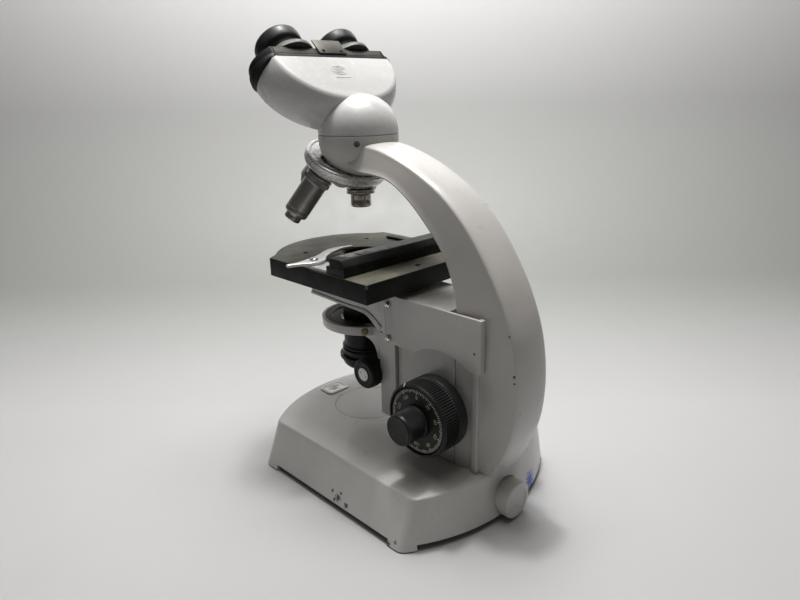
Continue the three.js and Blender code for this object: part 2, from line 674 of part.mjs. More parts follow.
function buildHead() {
  const head = new THREE.Group();
  head.position.z = HEAD.z;
  head.rotation.x = deg(HEAD.tilt);
  microscope.add(head);
  head.updateMatrix();
  const toHead = head.matrix.clone().invert();

  const levels = [-1, -0.85, -0.55, 0, 0.55, 0.85, 1];
  const shell = loft(levels.map((k) => headLayer(k * HEAD.half)));
  const dome = [[DOME_R, SEAM_Z + GAP]];
  for (let i = 1; i <= 9; i++) {
    const turn = (Math.PI / 2) * (i / 9);
    const rise = DOME_H * Math.sin(turn) ** DOME_FULLNESS;
    dome.push([DOME_R * Math.abs(Math.cos(turn)) ** DOME_FULLNESS, SEAM_Z + GAP + rise]);
  }
  dome[9][0] = 0;
  dome.unshift([0, SEAM_Z + GAP]);
  const under = box([-100, 100], [-100, 100], [SEAM_Z - 60, SEAM_Z + GAP]).applyMatrix4(toHead);
  const path = turned(rod(8, SEAM_Z - 5, SEAM_Z + 22), 24).applyMatrix4(toHead);
  const body = cut(join(solid(shell), turned(dome, 36).applyMatrix4(toHead)), under, path);
  add('head_casting', body, 'paint', head);

  const face = HEAD.half - 0.85;
  const band = plate(bulged(-60, 60, face + 0.4), [HEAD.edge + GAP, 57.4]);
  add('head_band', band, 'stageBlack', head);
  const bridge = join(
    solid(box([-5, 5], [-face - 1, face + 1], [57.7, 64])),
    box([-14.4, 14.4], [face + 0.3, face + 1.8], [57.7, 72.5]),
    box([-14.4, 14.4], [-face - 1.8, -face - 0.3], [57.7, 72.5]),
  );
  add('centre_bridge', bridge, 'greyMetal', head);

  for (const [side, name] of [[1, 'right'], [-1, 'left']]) {
    const x = side * EYE.x;
    const slide = cut(
      solid(plate(bulged(9, 59, face), [57.7, 64.8]).scale(side, 1, 1)),
      turned(rod(13, 50, 70)).translate(x, 0, 0),
    );
    add(`tube_slide_${name}`, slide, 'greyMetal', head);
    const ring = [[12.4, 65.1], [EYE.collarR, 65.1], [EYE.collarR, 69.5], [20, 72.5], [12.4, 72.5]];
    add(`diopter_collar_${name}`, turned(ring, 28).translate(x, 0, 0), 'greyMetal', head);
    const piece = [
      [7.5, 58.5], [11.6, 58.5], [11.6, 72.8], [16.5, 72.8], [16.5, 77], [EYE.cupR, 79.5],
      [EYE.cupR, 89.5], [EYE.cupR - 1.2, EYE.top], [13.5, EYE.top], [11.5, 85], [7.5, 84],
    ];
    add(`eyepiece_${name}`, turned(piece, 26).translate(x, 0, 0), 'knobBlack', head);
    const lens = [[0, 80.5], [7.2, 80.5], [7.2, 82.5], [4, 83.6], [0, 84]];
    add(`eye_lens_${name}`, turned(lens, 18).translate(x, 0, 0), 'glass', head);
  }
}

function buildClampScrew() {
  add('head_clamp_screw', clampHole(1.9, DOME_R - 8.5, DOME_R - 1.5), 'steel');
}

buildBase();
buildPort();
buildLamp();
buildArm();
buildClampScrew();
buildHousing();
buildKnobs();
buildCarrier();
buildBracket();
buildStage();
buildSlideHolder();
buildCondenser();
buildNosepiece();
buildHead();

export default microscope;
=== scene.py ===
import json
import math

import bmesh
import bpy
from mathutils import Matrix, Vector

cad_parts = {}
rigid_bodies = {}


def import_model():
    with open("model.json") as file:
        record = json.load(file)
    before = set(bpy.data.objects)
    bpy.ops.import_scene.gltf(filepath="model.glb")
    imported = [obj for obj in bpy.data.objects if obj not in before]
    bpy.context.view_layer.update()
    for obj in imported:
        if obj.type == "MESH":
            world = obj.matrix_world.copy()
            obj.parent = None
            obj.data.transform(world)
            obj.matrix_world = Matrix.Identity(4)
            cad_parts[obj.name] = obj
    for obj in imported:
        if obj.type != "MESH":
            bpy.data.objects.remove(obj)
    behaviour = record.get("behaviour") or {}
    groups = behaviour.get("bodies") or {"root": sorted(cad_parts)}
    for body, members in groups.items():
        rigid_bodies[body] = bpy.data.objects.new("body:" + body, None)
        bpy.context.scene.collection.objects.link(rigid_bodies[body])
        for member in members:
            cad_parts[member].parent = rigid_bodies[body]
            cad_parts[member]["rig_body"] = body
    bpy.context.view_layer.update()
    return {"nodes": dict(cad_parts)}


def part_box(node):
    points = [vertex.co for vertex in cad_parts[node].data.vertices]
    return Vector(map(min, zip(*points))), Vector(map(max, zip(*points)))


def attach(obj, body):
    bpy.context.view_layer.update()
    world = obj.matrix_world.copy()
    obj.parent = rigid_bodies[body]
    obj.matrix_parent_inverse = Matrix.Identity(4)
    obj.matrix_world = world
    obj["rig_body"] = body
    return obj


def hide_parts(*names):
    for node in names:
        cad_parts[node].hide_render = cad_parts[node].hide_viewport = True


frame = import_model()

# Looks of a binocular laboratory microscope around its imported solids.
# Shapes are written in millimetres in the stand's frame: the origin is the foot of the optical
# axis on the table, X to the user's right, Y from the user towards the arm, Z up.

MM = 0.001
AXIS_Y = sum(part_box("light_port_cover"), Vector()).y / 2


def shift(x, y, z):
    return Matrix.Translation((x, y, z))


def spin(angle, axis):
    return Matrix.Rotation(angle, 4, axis)


STAND = shift(0, AXIS_Y, 0) @ Matrix.Scale(MM, 4)


def span(node):
    """Lowest and highest corner of a node, in the stand's millimetres."""
    back = STAND.inverted()
    low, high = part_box(node)
    return back @ low, back @ high


def middle(node):
    low, high = span(node)
    return (low + high) / 2


BASE_TOP_Z = span("base_casting")[1].z
SEAM_Z = span("arm_casting")[1].z
STAGE_LOW, STAGE_HIGH = span("stage_plate")
KNOB = middle("coarse_knob_right")
KNOB_HALF_Y = (span("coarse_knob_right")[1].y - span("coarse_knob_right")[0].y) / 2

TURRET_TILT = math.radians(26.4)
TURRET_APEX = 301.3
TURRET_PIVOT = shift(0, 0, TURRET_APEX) @ spin(-TURRET_TILT, "X")
TURRET = STAND @ TURRET_PIVOT
HEAD_TILT = math.radians(45)
HEAD_PIVOT = shift(0, 0, 298.7) @ spin(HEAD_TILT, "X")
HEAD = STAND @ HEAD_PIVOT
HEAD_HALF = 19.35
FACE_HALF = HEAD_HALF - 0.85  # of the band and the plates on it
HEAD_EDGE = 53.6
BAND_TOP = 57.4
PLATE_LOW, PLATE_HIGH = 57.7, 64.8
EYE_X = 31
DOME_R = 33.5
BOWL_Z = 287.4  # centre of the bowl's round underside


# ---------------------------------------------------------------- mesh helpers
def skin(rings, loop=False):
    """Quads over rings of points. A ring of one point is a pole; open ends get a flat cap."""
    bm = bmesh.new()
    made = [[bm.verts.new(point) for point in ring] for ring in rings]
    pairs = list(zip(made, made[1:]))
    if loop:
        pairs.append((made[-1], made[0]))
    for below, above in pairs:
        count = max(len(below), len(above))
        for i in range(count):
            k = (i + 1) % count
            if len(below) == 1:
                bm.faces.new((below[0], above[k], above[i]))
            elif len(above) == 1:
                bm.faces.new((below[i], below[k], above[0]))
            else:
                bm.faces.new((below[i], below[k], above[k], above[i]))
    if not loop:
        for ring, turn in ((made[0], True), (made[-1], False)):
            if len(ring) > 2:
                bm.faces.new(list(reversed(ring)) if turn else ring)
    bmesh.ops.recalc_face_normals(bm, faces=bm.faces)
    return bm


def soften(profile, radius=0.5, steps=4):
    """Rounds the corners of a profile; a third number in a point is its own radius."""
    on_axis = profile[0][0] == 0
    count = len(profile)
    out = []
    for i, point in enumerate(profile):
        size = point[2] if len(point) > 2 else radius
        here = Vector(point[:2])
        if on_axis and i in (0, count - 1) or size == 0:
            out.append(here)
            continue
        before = Vector(profile[i - 1][:2])
        after = Vector(profile[(i + 1) % count][:2])
        cut = min(size, (here - before).length * 0.45, (here - after).length * 0.45)
        start = here + (before - here).normalized() * cut
        end = here + (after - here).normalized() * cut
        for k in range(steps + 1):
            t = k / steps
            out.append(start.lerp(here, t).lerp(here.lerp(end, t), t))
    return out


def turned(profile, sides=96, ripple=None):
    """Revolves [r, z] points about Z. ripple(angle, r, z) is added to the radius."""
    rings = []
    for r, z in profile:
        if r < 1e-6:
            rings.append([Vector((0, 0, z))])
            continue
        ring = []
        for i in range(sides):
            angle = 2 * math.pi * i / sides
            reach = r + (ripple(angle, r, z) if ripple else 0)
            ring.append(Vector((reach * math.cos(angle), reach * math.sin(angle), z)))
        rings.append(ring)
    return skin(rings, loop=profile[0][0] > 1e-6)


def rod(radius, start, end, sides):
    return turned([(0, start), (radius, start), (radius, end), (0, end)], sides)


def tube(radii, z, soft, sides):
    """A ring between two radii and two heights, with soft corners."""
    profile = [(radii[0], z[0]), (radii[1], z[0]), (radii[1], z[1]), (radii[0], z[1])]
    return turned(soften(profile, soft), sides)


def divided(profile, beyond, longer, pieces, closed=False):
    """Splits the long stretches beyond a radius, so that ribs can follow them."""
    out = []
    for a, b in zip(profile, profile[1:] + profile[:1] if closed else profile[1:]):
        out.append(a)
        if min(a.x, b.x) > beyond and abs(b.y - a.y) > longer:
            out += [a.lerp(b, k / pieces) for k in range(1, pieces)]
    return out if closed else out + [profile[-1]]


def block(x, y, z):
    corners = [(x[0], y[0]), (x[1], y[0]), (x[1], y[1]), (x[0], y[1])]
    return skin([[Vector((*corner, level)) for corner in corners] for level in z])


def slab(outline, z):
    """An outline in X and Y, raised from z[0] to z[1]."""
    return skin([[Vector((point[0], point[1], level)) for point in outline] for level in z])


def side_slab(outline, x):
    """An outline in Y and Z, raised from x[0] to x[1]."""
    return skin([[Vector((level, point[0], point[1])) for point in outline] for level in x])


def along_x(bm, y=0, z=0, side=1):
    """Lays a turned piece along X; its own Z becomes side * X."""
    bm.transform(shift(0, y, z) @ spin(side * math.pi / 2, "Y"))
    return bm


def on_knob_axis(bm, side=1):
    return along_x(bm, KNOB.y, KNOB.z, side)


def along_y(bm, z):
    """Lays a turned piece along Y, over X = 0."""
    return moved(bm, shift(0, 0, z) @ spin(-math.pi / 2, "X"))


def moved(bm, matrix):
    bm.transform(matrix)
    return bm


def node_block(node, width, segments):
    """A block as large as a node, with round edges."""
    low, high = span(node)
    return rounded(block(*zip(low, high)), width, segments)


def rounded(bm, width, segments=3, angle=30):
    """Rounds the sharp edges of a mesh."""
    limit = math.radians(angle)
    edges = [e for e in bm.edges if len(e.link_faces) == 2 and e.calc_face_angle() > limit]
    bmesh.ops.bevel(
        bm, geom=edges, offset=width, segments=segments, affect="EDGES", profile=0.5, clamp_overlap=True
    )
    return bm


def merged(*parts):
    """Several meshes as one, without joining their skins."""
    out = bmesh.new()
    for part in parts:
        mesh = bpy.data.meshes.new("part")
        part.to_mesh(mesh)
        part.free()
        out.from_mesh(mesh)
        bpy.data.meshes.remove(mesh)
    return out


def to_object(bm, name="tool"):
    mesh = bpy.data.meshes.new(name)
    bm.to_mesh(mesh)
    bm.free()
    obj = bpy.data.objects.new(name, mesh)
    bpy.context.scene.collection.objects.link(obj)
    return obj


def applied(obj):
    """The object's mesh with its modifiers worked in, as a bmesh; the object is removed."""
    graph = bpy.context.evaluated_depsgraph_get()
    mesh = bpy.data.meshes.new_from_object(obj.evaluated_get(graph))
    bm = bmesh.new()
    bm.from_mesh(mesh)
    bpy.data.meshes.remove(mesh)
    bpy.data.objects.remove(obj)
    return bm


def combined(bm, operation, *tools):
    """Cuts tools from a mesh, or joins them to it."""
    target = to_object(bm, "target")
    helpers = []
    for tool in tools:
        helper = to_object(tool)
        helpers.append(helper)
        modifier = target.modifiers.new("cut", "BOOLEAN")
        modifier.operation = operation
        modifier.object = helper
        modifier.solver = "EXACT"
    out = applied(target)
    for helper in helpers:
        bpy.data.objects.remove(helper)
    bmesh.ops.remove_doubles(out, verts=out.verts, dist=1e-4)
    bmesh.ops.dissolve_degenerate(out, edges=out.edges, dist=1e-4)
    return out


def cut(bm, *tools):
    return combined(bm, "DIFFERENCE", *tools)


def join(bm, *tools):
    return combined(bm, "UNION", *tools)


def placed(name, bm, looks, matrix, crease):
    """A finished mesh as an object, smooth but for its sharp edges. looks are keys of M."""
    bm.transform(matrix)
    for face in bm.faces:
        face.smooth = True
    for edge in bm.edges:
        if len(edge.link_faces) != 2 or edge.calc_face_angle(0) > math.radians(crease):
            edge.smooth = False
    obj = to_object(bm, name)
    for look in looks.split():
        obj.data.materials.append(M[look])
    return obj


def piece(name, bm, node, looks, matrix=STAND, crease=32):
    """Puts a finished mesh in place of its CAD node and on its body, with the given looks as its
    materials.
    """
    obj = placed(name, bm, looks, matrix, crease)
    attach(obj, frame["nodes"][node]["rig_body"])
    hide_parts(node)


def detail(name, bm, node, looks, matrix=STAND):
    """A small extra piece that rides with a node's body."""
    obj = placed(name, bm, looks, matrix, 32)
    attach(obj, frame["nodes"][node]["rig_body"])


# ---------------------------------------------------------------- materials
class Look:
    """A Principled material whose colour, roughness and relief come from noise in object space."""

    def __init__(self, name, metallic=0.0, coat=0.0, coat_roughness=0.1, ior=1.5):
        self.material = bpy.data.materials.new(name)
        self.material.use_nodes = True
        self.tree = self.material.node_tree
        self.shader = self.tree.nodes["Principled BSDF"]
        self.shader.inputs["Metallic"].default_value = metallic
        self.shader.inputs["Coat Weight"].default_value = coat
        self.shader.inputs["Coat Roughness"].default_value = coat_roughness
        self.shader.inputs["IOR"].default_value = ior
        self.place = self.new("ShaderNodeTexCoord").outputs["Object"]

    def new(self, kind, **settings):
        node = self.tree.nodes.new(kind)
        for key, value in settings.items():
            setattr(node, key, value)
        return node

    def link(self, source, target):
        if isinstance(source, (int, float)):
            target.default_value = source
        elif isinstance(source, (tuple, list)):
            target.default_value = (*source, 1.0) if len(source) == 3 else source
        else:
            self.tree.links.new(source, target)

    def stretched(self, x, y, z):
        node = self.new("ShaderNodeMapping")
        self.link(self.place, node.inputs["Vector"])
        node.inputs["Scale"].default_value = (x, y, z)
        return node.outputs["Vector"]

    def noise(self, scale, grain=4.0, rough=0.55, place=None):
        node = self.new("ShaderNodeTexNoise")
        self.link(place or self.place, node.inputs["Vector"])
        node.inputs["Scale"].default_value = scale
        node.inputs["Detail"].default_value = grain
        node.inputs["Roughness"].default_value = rough
        return node.outputs["Fac"]

    def band(self, value, low, high, out_low=0.0, out_high=1.0):
        node = self.new("ShaderNodeMapRange")
        node.clamp = True
        self.link(value, node.inputs["Value"])
        node.inputs["From Min"].default_value = low
        node.inputs["From Max"].default_value = high
        node.inputs["To Min"].default_value = out_low
        node.inputs["To Max"].default_value = out_high
        return node.outputs["Result"]

    def cloud(self, noise, low, high, out_low=0.0, out_high=1.0):
        """Noise, given as its settings, spread over a band."""
        return self.band(self.noise(*noise), low, high, out_low, out_high)

    def maths(self, operation, a, b=0.0):
        node = self.new("ShaderNodeMath", operation=operation)
        self.link(a, node.inputs[0])
        self.link(b, node.inputs[1])
        return node.outputs["Value"]

    def mix(self, amount, a, b):
        node = self.new("ShaderNodeMix", data_type="RGBA")
        self.link(amount, node.inputs["Factor"])
        self.link(a, node.inputs[6])
        self.link(b, node.inputs[7])
        return node.outputs[2]

    def near(self, spot, radius, ragged=0.75, scale=900):
        """1 inside a ragged patch about a point given in the stand's millimetres."""
        distance = self.new("ShaderNodeVectorMath", operation="DISTANCE")
        self.link(self.place, distance.inputs[0])
        distance.inputs[1].default_value = STAND @ Vector(spot)
        wobble = self.band(self.noise(scale, 3), 0.3, 0.7, -ragged, ragged)
        edge = self.maths("ADD", self.maths("DIVIDE", distance.outputs["Value"], radius * MM), wobble)
        return self.band(edge, 1.0, 0.85)

    def upward(self):
        """The vertical part of the surface's direction."""
        parts = self.new("ShaderNodeSeparateXYZ")
        self.link(self.new("ShaderNodeNewGeometry").outputs["Normal"], parts.inputs["Vector"])
        return parts.outputs["Z"]

    def relief(self, height, depth, strength=1.0, below=None):
        node = self.new("ShaderNodeBump")
        node.inputs["Strength"].default_value = strength
        node.inputs["Distance"].default_value = depth * MM
        self.link(height, node.inputs["Height"])
        if below is not None:
            self.link(below, node.inputs["Normal"])
        return node.outputs["Normal"]

    def finish(self, colour, roughness, normal=None):
        self.link(colour, self.shader.inputs["Base Color"])
        self.link(roughness, self.shader.inputs["Roughness"])
        if normal is not None:
            self.link(normal, self.shader.inputs["Normal"])
        return self.material


def paint(name, colour, gloss=0.34, marks=(), grain=0.05):
    """Enamel with orange peel, faint grime and a few chips. marks are (point, radius, colour)."""
    look = Look(name, coat=0.25, coat_roughness=0.12)
    dull = tuple(c * 0.86 for c in colour)
    warm = (colour[0] * 0.95, colour[1] * 0.92, colour[2] * 0.86)
    tone = look.mix(look.cloud((14, 3), 0.35, 0.7), colour, dull)
    tone = look.mix(look.cloud((55, 6, 0.65), 0.56, 0.78, 0, 0.55), tone, warm)
    specks = look.cloud((900, 2), 0.755, 0.79, 0, 0.5)
    tone = look.mix(specks, tone, (0.10, 0.09, 0.08))
    for spot, radius, tint in marks:
        tone = look.mix(look.near(spot, radius), tone, tint)
    rough = look.cloud((90, 4), 0.3, 0.7, gloss - 0.07, gloss + 0.1)
    peel = look.relief(look.noise(900, 2), grain, 0.5)
    return look.finish(tone, rough, look.relief(look.noise(160, 4), grain * 2, 0.35, peel))


def black(name, colour=(0.018, 0.019, 0.019), gloss=0.4, grain=0.03, metallic=0.0, dust=0.35):
    """Black enamel or moulded plastic with dust and handling marks."""
    look = Look(name, metallic=metallic, ior=1.32)
    lighter = tuple(c * 2.1 + 0.012 for c in colour)
    tone = look.mix(look.cloud((35, 5), 0.45, 0.75, 0, dust), colour, lighter)
    tone = look.mix(look.cloud((500, 2), 0.68, 0.74, 0, dust), tone, (0.13, 0.13, 0.12))
    rough = look.cloud((70, 4), 0.3, 0.7, gloss - 0.08, gloss + 0.12)
    return look.finish(tone, rough, look.relief(look.noise(1100, 2), grain, 0.6))


def bright_metal(
    name, colour=(0.62, 0.61, 0.59), gloss=0.17, stain=(0.30, 0.26, 0.20), amount=0.5, metallic=1.0
):
    """Plated metal with faint scratches and tarnish."""
    look = Look(name, metallic=metallic)
    tone = look.mix(look.cloud((60, 6, 0.65), 0.5, 0.72, 0, amount), colour, stain)
    scratches = look.noise(240, 4, 0.6, look.stretched(1, 1, 9))
    rough = look.band(scratches, 0.35, 0.7, gloss - 0.05, gloss + 0.12)
    return look.finish(tone, rough, look.relief(scratches, 0.005, 0.35))


def grey_metal(name, colour, gloss=0.42, metallic=0.6, grain=0.02):
    """Anodised plate with fine brushing and lighter handling marks."""
    look = Look(name, metallic=metallic)
    light = tuple(min(1, c * 1.45) for c in colour)
    tone = look.mix(look.cloud((40, 6, 0.6), 0.45, 0.75, 0, 0.7), colour, light)
    brushed = look.noise(300, 3, 0.6, look.stretched(0.25, 3, 3))
    rough = look.band(brushed, 0.3, 0.7, gloss - 0.08, gloss + 0.1)
    return look.finish(tone, rough, look.relief(brushed, grain, 0.5))


def stage_finish():
    """Black enamel whose top has worn to olive brown, with paler swirls."""
    look = Look("stage_enamel", ior=1.3)
    patches = look.cloud((40, 5), 0.4, 0.75)
    black_side = look.mix(patches, (0.008, 0.008, 0.008), (0.020, 0.020, 0.019))
    drag = look.noise(26, 6, 0.6, look.stretched(0.5, 1.5, 1))
    worn = look.mix(look.band(drag, 0.35, 0.65), (0.062, 0.060, 0.042), (0.125, 0.120, 0.088))
    worn = look.mix(look.cloud((160, 5, 0.7), 0.56, 0.75, 0, 0.7), worn, (0.045, 0.042, 0.033))
    tone = look.mix(look.band(look.upward(), 0.75, 0.97), black_side, worn)
    tone = look.mix(look.near((68.1, 79.1, 188), 1.6, 0.9, 700), tone, (0.12, 0.115, 0.105))
    rough = look.cloud((50, 4), 0.3, 0.7, 0.42, 0.6)
    return look.finish(tone, rough, look.relief(look.noise(900, 3), 0.05, 0.5))


def worn_bar():
    """The slide rest: black, rubbed pale at its ends."""
    look = Look("rest_bar_enamel", ior=1.3)
    tone = look.mix(look.cloud((45, 5), 0.4, 0.7), (0.008, 0.008, 0.008), (0.022, 0.022, 0.021))
    wear = look.cloud((300, 5, 0.7), 0.4, 0.65)
    rubbed = look.mix(wear, (0.05, 0.05, 0.045), (0.20, 0.19, 0.16))
    for spot, radius in (((52, 38, 203), 10), ((38, 36, 203), 6)):
        tone = look.mix(look.near(spot, radius, 0.45, 120), tone, rubbed)
    pale = look.mix(look.cloud((120, 4), 0.4, 0.7), (0.11, 0.12, 0.125), (0.16, 0.17, 0.175))
    tone = look.mix(look.near((22, 38, 203), 13, 0.2, 90), tone, pale)
    tone = look.mix(look.near((5, 40, 203), 10, 0.2, 90), tone, pale)
    rough = look.cloud((60, 4), 0.3, 0.7, 0.32, 0.5)
    return look.finish(tone, rough, look.relief(look.noise(700, 3), 0.04, 0.5))


def clear_glass(name, tint=(0.55, 0.62, 0.66)):
    look = Look(name, coat=1.0, coat_roughness=0.02, ior=1.52)
    look.shader.inputs["Transmission Weight"].default_value = 0.6
    tone = look.mix(look.cloud((30, 2), 0.3, 0.7), tint, (0.35, 0.38, 0.48))
    return look.finish(tone, look.cloud((200, 3), 0.4, 0.7, 0.02, 0.08))


def marking(name, colour):
    """Filled engraving."""
    look = Look(name)
    faded = tuple(c * 0.55 for c in colour)
    tone = look.mix(look.cloud((700, 3), 0.4, 0.65), colour, faded)
    return look.finish(tone, look.cloud((400, 2), 0.3, 0.7, 0.45, 0.65))


CHIP = (0.035, 0.033, 0.030)
RUST = (0.16, 0.09, 0.045)
STICKER = (0.008, 0.075, 0.55)
BASE_MARKS = [
    ((90.2, 60, 11), 3.0, CHIP), ((89.6, 52, 14), 1.6, CHIP), ((90, 70, 9), 2.2, CHIP),
    ((88.8, 62, 16), 1.4, CHIP), ((91, 56, 8), 1.5, CHIP),
    ((91.6, 126.8, 6.5), 1.5, RUST), ((92.5, 120, 2.5), 2.0, CHIP),
    ((-37, 160, 11), 7.5, STICKER), ((-44, 160, 15), 4.5, STICKER),
]
ARM_MARKS = [
    ((20, 176.5, 131), 1.2, CHIP), ((20, 177, 126), 0.9, CHIP), ((19.6, 171, 160), 0.9, CHIP),
    ((19.5, 152, 205), 0.9, CHIP),
]
WARM_GREY = (0.555, 0.54, 0.515)
M = {
    "arm": paint("arm_paint", WARM_GREY, marks=ARM_MARKS, grain=0.07),
    "base": paint("base_paint", (0.60, 0.59, 0.565), marks=BASE_MARKS, grain=0.06),
    "carrier": paint("carrier_paint", WARM_GREY),
    "head": paint("head_paint", (0.60, 0.597, 0.59), gloss=0.24, grain=0.02),
    "knob": black("knob_plastic", (0.012, 0.0135, 0.0125), 0.42, dust=0.25),
    "enamel": black("black_enamel", (0.010, 0.010, 0.010), 0.36),
    "drum": black("drum_enamel", (0.011, 0.011, 0.010), 0.48, dust=0.2),
    "cup": black("eyecup", (0.022, 0.023, 0.023), 0.34, 0.06, dust=0.6),
    "crinkle": black("crinkle_plate", (0.02, 0.02, 0.02), 0.55, 0.2),
    "rubber": black("foot_rubber", (0.015, 0.015, 0.015), 0.75, 0.08),
    "chrome": bright_metal("chrome"),
    "satin_chrome": bright_metal(
        "satin_chrome", (0.36, 0.35, 0.335), 0.34, (0.17, 0.145, 0.11), 0.5, 0.85
    ),
    "steel": bright_metal("turned_steel", (0.42, 0.41, 0.39), 0.32),
    "brass": bright_metal("brass", (0.20, 0.16, 0.09), 0.35, (0.05, 0.04, 0.03), 0.8, 0.8),
    "plate": grey_metal("eyepiece_plate", (0.078, 0.073, 0.064)),
    "collar": grey_metal("collar_metal", (0.055, 0.053, 0.048), 0.45, 0.4),
    "badge": grey_metal("badge_plate", (0.62, 0.61, 0.59), 0.42, 0.5),
    "rim": black("head_rim_enamel", (0.008, 0.008, 0.009), 0.5, dust=0.15),
    "step": grey_metal("step_plate", (0.45, 0.45, 0.44), 0.4, 0.5),
    "stage": stage_finish(),
    "bar": worn_bar(),
    "glass": clear_glass("lens_glass"),
    "mirror": bright_metal("mirror", (0.85, 0.86, 0.87), 0.06, (0.7, 0.7, 0.7), 0.3),
    "white": marking("white_marks", (0.75, 0.75, 0.70)),
    "ochre": marking("ochre_marks", (0.62, 0.50, 0.30)),
    "olive_ring": grey_metal("ring_face", (0.055, 0.050, 0.040), 0.5, 0.2),
    "lever": bright_metal("lever_chrome", (0.72, 0.72, 0.71), 0.32, (0.5, 0.49, 0.47), 0.4, 0.55),
    "turret": bright_metal("turret_chrome", (0.66, 0.655, 0.64), 0.25, (0.56, 0.55, 0.53), 0.3, 0.7),
    "scan": bright_metal("scan_chrome", (0.40, 0.375, 0.33), 0.16, (0.12, 0.09, 0.065), 0.6),
    "disc": grey_metal("wheel_disc", (0.62, 0.62, 0.61), 0.35, 0.4),
    "screw_dark": black("dark_screw", (0.03, 0.03, 0.03), 0.35, metallic=0.8),
}


# ---------------------------------------------------------------- base
BASE_FOOT = dict(half=93.4, front=-76, front_r=135, rear=164.7, rear_r=153, corner=5)
BASE_CROWN = dict(half=80.7, front=-64.3, front_r=123, rear=157.3, rear_r=159, corner=5)
BASE_WALL = 4
NOTCH = 5.5


def base_plan(level, inset=0.0, arc_steps=26, corner_steps=9):
    """The base's outline at a height: bowed front and rear, straight sides, soft corners."""
    t = level / BASE_TOP_Z
    plan = {key: BASE_FOOT[key] + (BASE_CROWN[key] - BASE_FOOT[key]) * t for key in BASE_FOOT}
    side = plan["half"] - inset
    corner = plan["corner"]
    ends = {}
    for end, sign in (("front", -1), ("rear", 1)):
        radius = plan[end + "_r"]
        centre = plan[end] - sign * radius
        radius -= inset
        turn = math.asin(side / radius)
        stop = turn - corner / radius
        arc = []
        for i in range(arc_steps + 1):
            angle = -stop + 2 * stop * i / arc_steps
            arc.append(Vector((radius * math.sin(angle), centre + sign * radius * math.cos(angle))))
        ends[end] = (arc, Vector((side, centre + sign * radius * math.cos(turn))))

    def bend(before, tip, after):
        return [
            before.lerp(tip, k / corner_steps).lerp(tip.lerp(after, k / corner_steps), k / corner_steps)
            for k in range(1, corner_steps + 1)
        ]

    front, front_tip = ends["front"]
    rear, rear_tip = ends["rear"]
    up = Vector((0, corner))
    right = bend(front[-1], front_tip, front_tip + up)
    right += [rear_tip - up] + bend(rear_tip - up, rear_tip, rear[-1])[:-1]
    left = [Vector((-point.x, point.y)) for point in reversed(right)]
    return front + right + list(reversed(rear)) + left


def base_layer(level, inset=0.0):
    return [Vector((point.x, point.y, level)) for point in base_plan(level, inset)]


def build_base():
    top = BASE_TOP_Z
    low = span("base_casting")[0].z
    soft = 1.6
    layers = [base_layer(low, 0.5), base_layer(low + 0.5), base_layer(top - soft)]
    for k in range(1, 6):
        turn = math.pi / 2 * k / 5
        layers.append(base_layer(top - soft + soft * math.sin(turn), soft * (1 - math.cos(turn))))
    ceiling = top - 5
    hollow = skin([base_layer(-1, BASE_WALL), base_layer(ceiling, BASE_WALL)])
    port_r = span("light_port_cover")[1].x + 0.35
    lamp_z = middle("lamp_cap").z
    lamp_r = span("lamp_cap")[1].x + 0.4
    seat_y = span("lamp_cap")[0].y - 0.3

    def bore(radius, start, end):
        return along_y(rod(radius, start, end, 64), lamp_z)

    body = cut(skin(layers), hollow)
    inside = skin([base_layer(low + 0.1, 0.2), base_layer(top - 3, 0.2)])
    boss = combined(bore(lamp_r + 2.6, 140, 172), "INTERSECT", inside)
    body = join(body, boss)
    body = cut(
        body,
        rod(port_r, top - 3.7, top + 1, 128),
        rod(28.1, ceiling - 1, top, 96),
        bore(lamp_r, seat_y, 190),
        bore(10, 130, 170),
        block((-110, 110), (-23.5, 119), (-1, NOTCH)),
        block((-82, 82), (-90, 190), (-1, NOTCH)),
    )
    piece("base_shell", body, "base_casting", "base", crease=28)


def build_bottom():
    plate = skin([base_layer(NOTCH + 0.5, BASE_WALL + 0.5), base_layer(NOTCH + 2, BASE_WALL + 0.5)])
    plate = cut(plate, block((-24, 24), (137, 170), (0, 10)), block((-8, 8), (118, 140), (0, 10)))
    for x, y in ((40, -20), (-40, -20), (40, 100), (-40, 100)):
        screw = tube((0, 3), (NOTCH - 0.2, NOTCH + 0.6), 0.4, 24)
        plate = merged(plate, moved(screw, shift(x, y, 0)))
    piece("bottom_cover", plate, "base_bottom_plate", "crinkle")

    for i in range(1, 5):
        node = f"foot_{i}"
        at = middle(node)
        high = span(node)[1].z
        foot = [(0, 0.3), (5, 0.3), (6, 0), (8.4, 0), (9, 1.2), (9, high), (0, high)]
        foot = turned(soften(foot, 0.5), 48)
        piece(f"rubber_{node}", moved(foot, shift(at.x, at.y, 0)), node, "rubber")


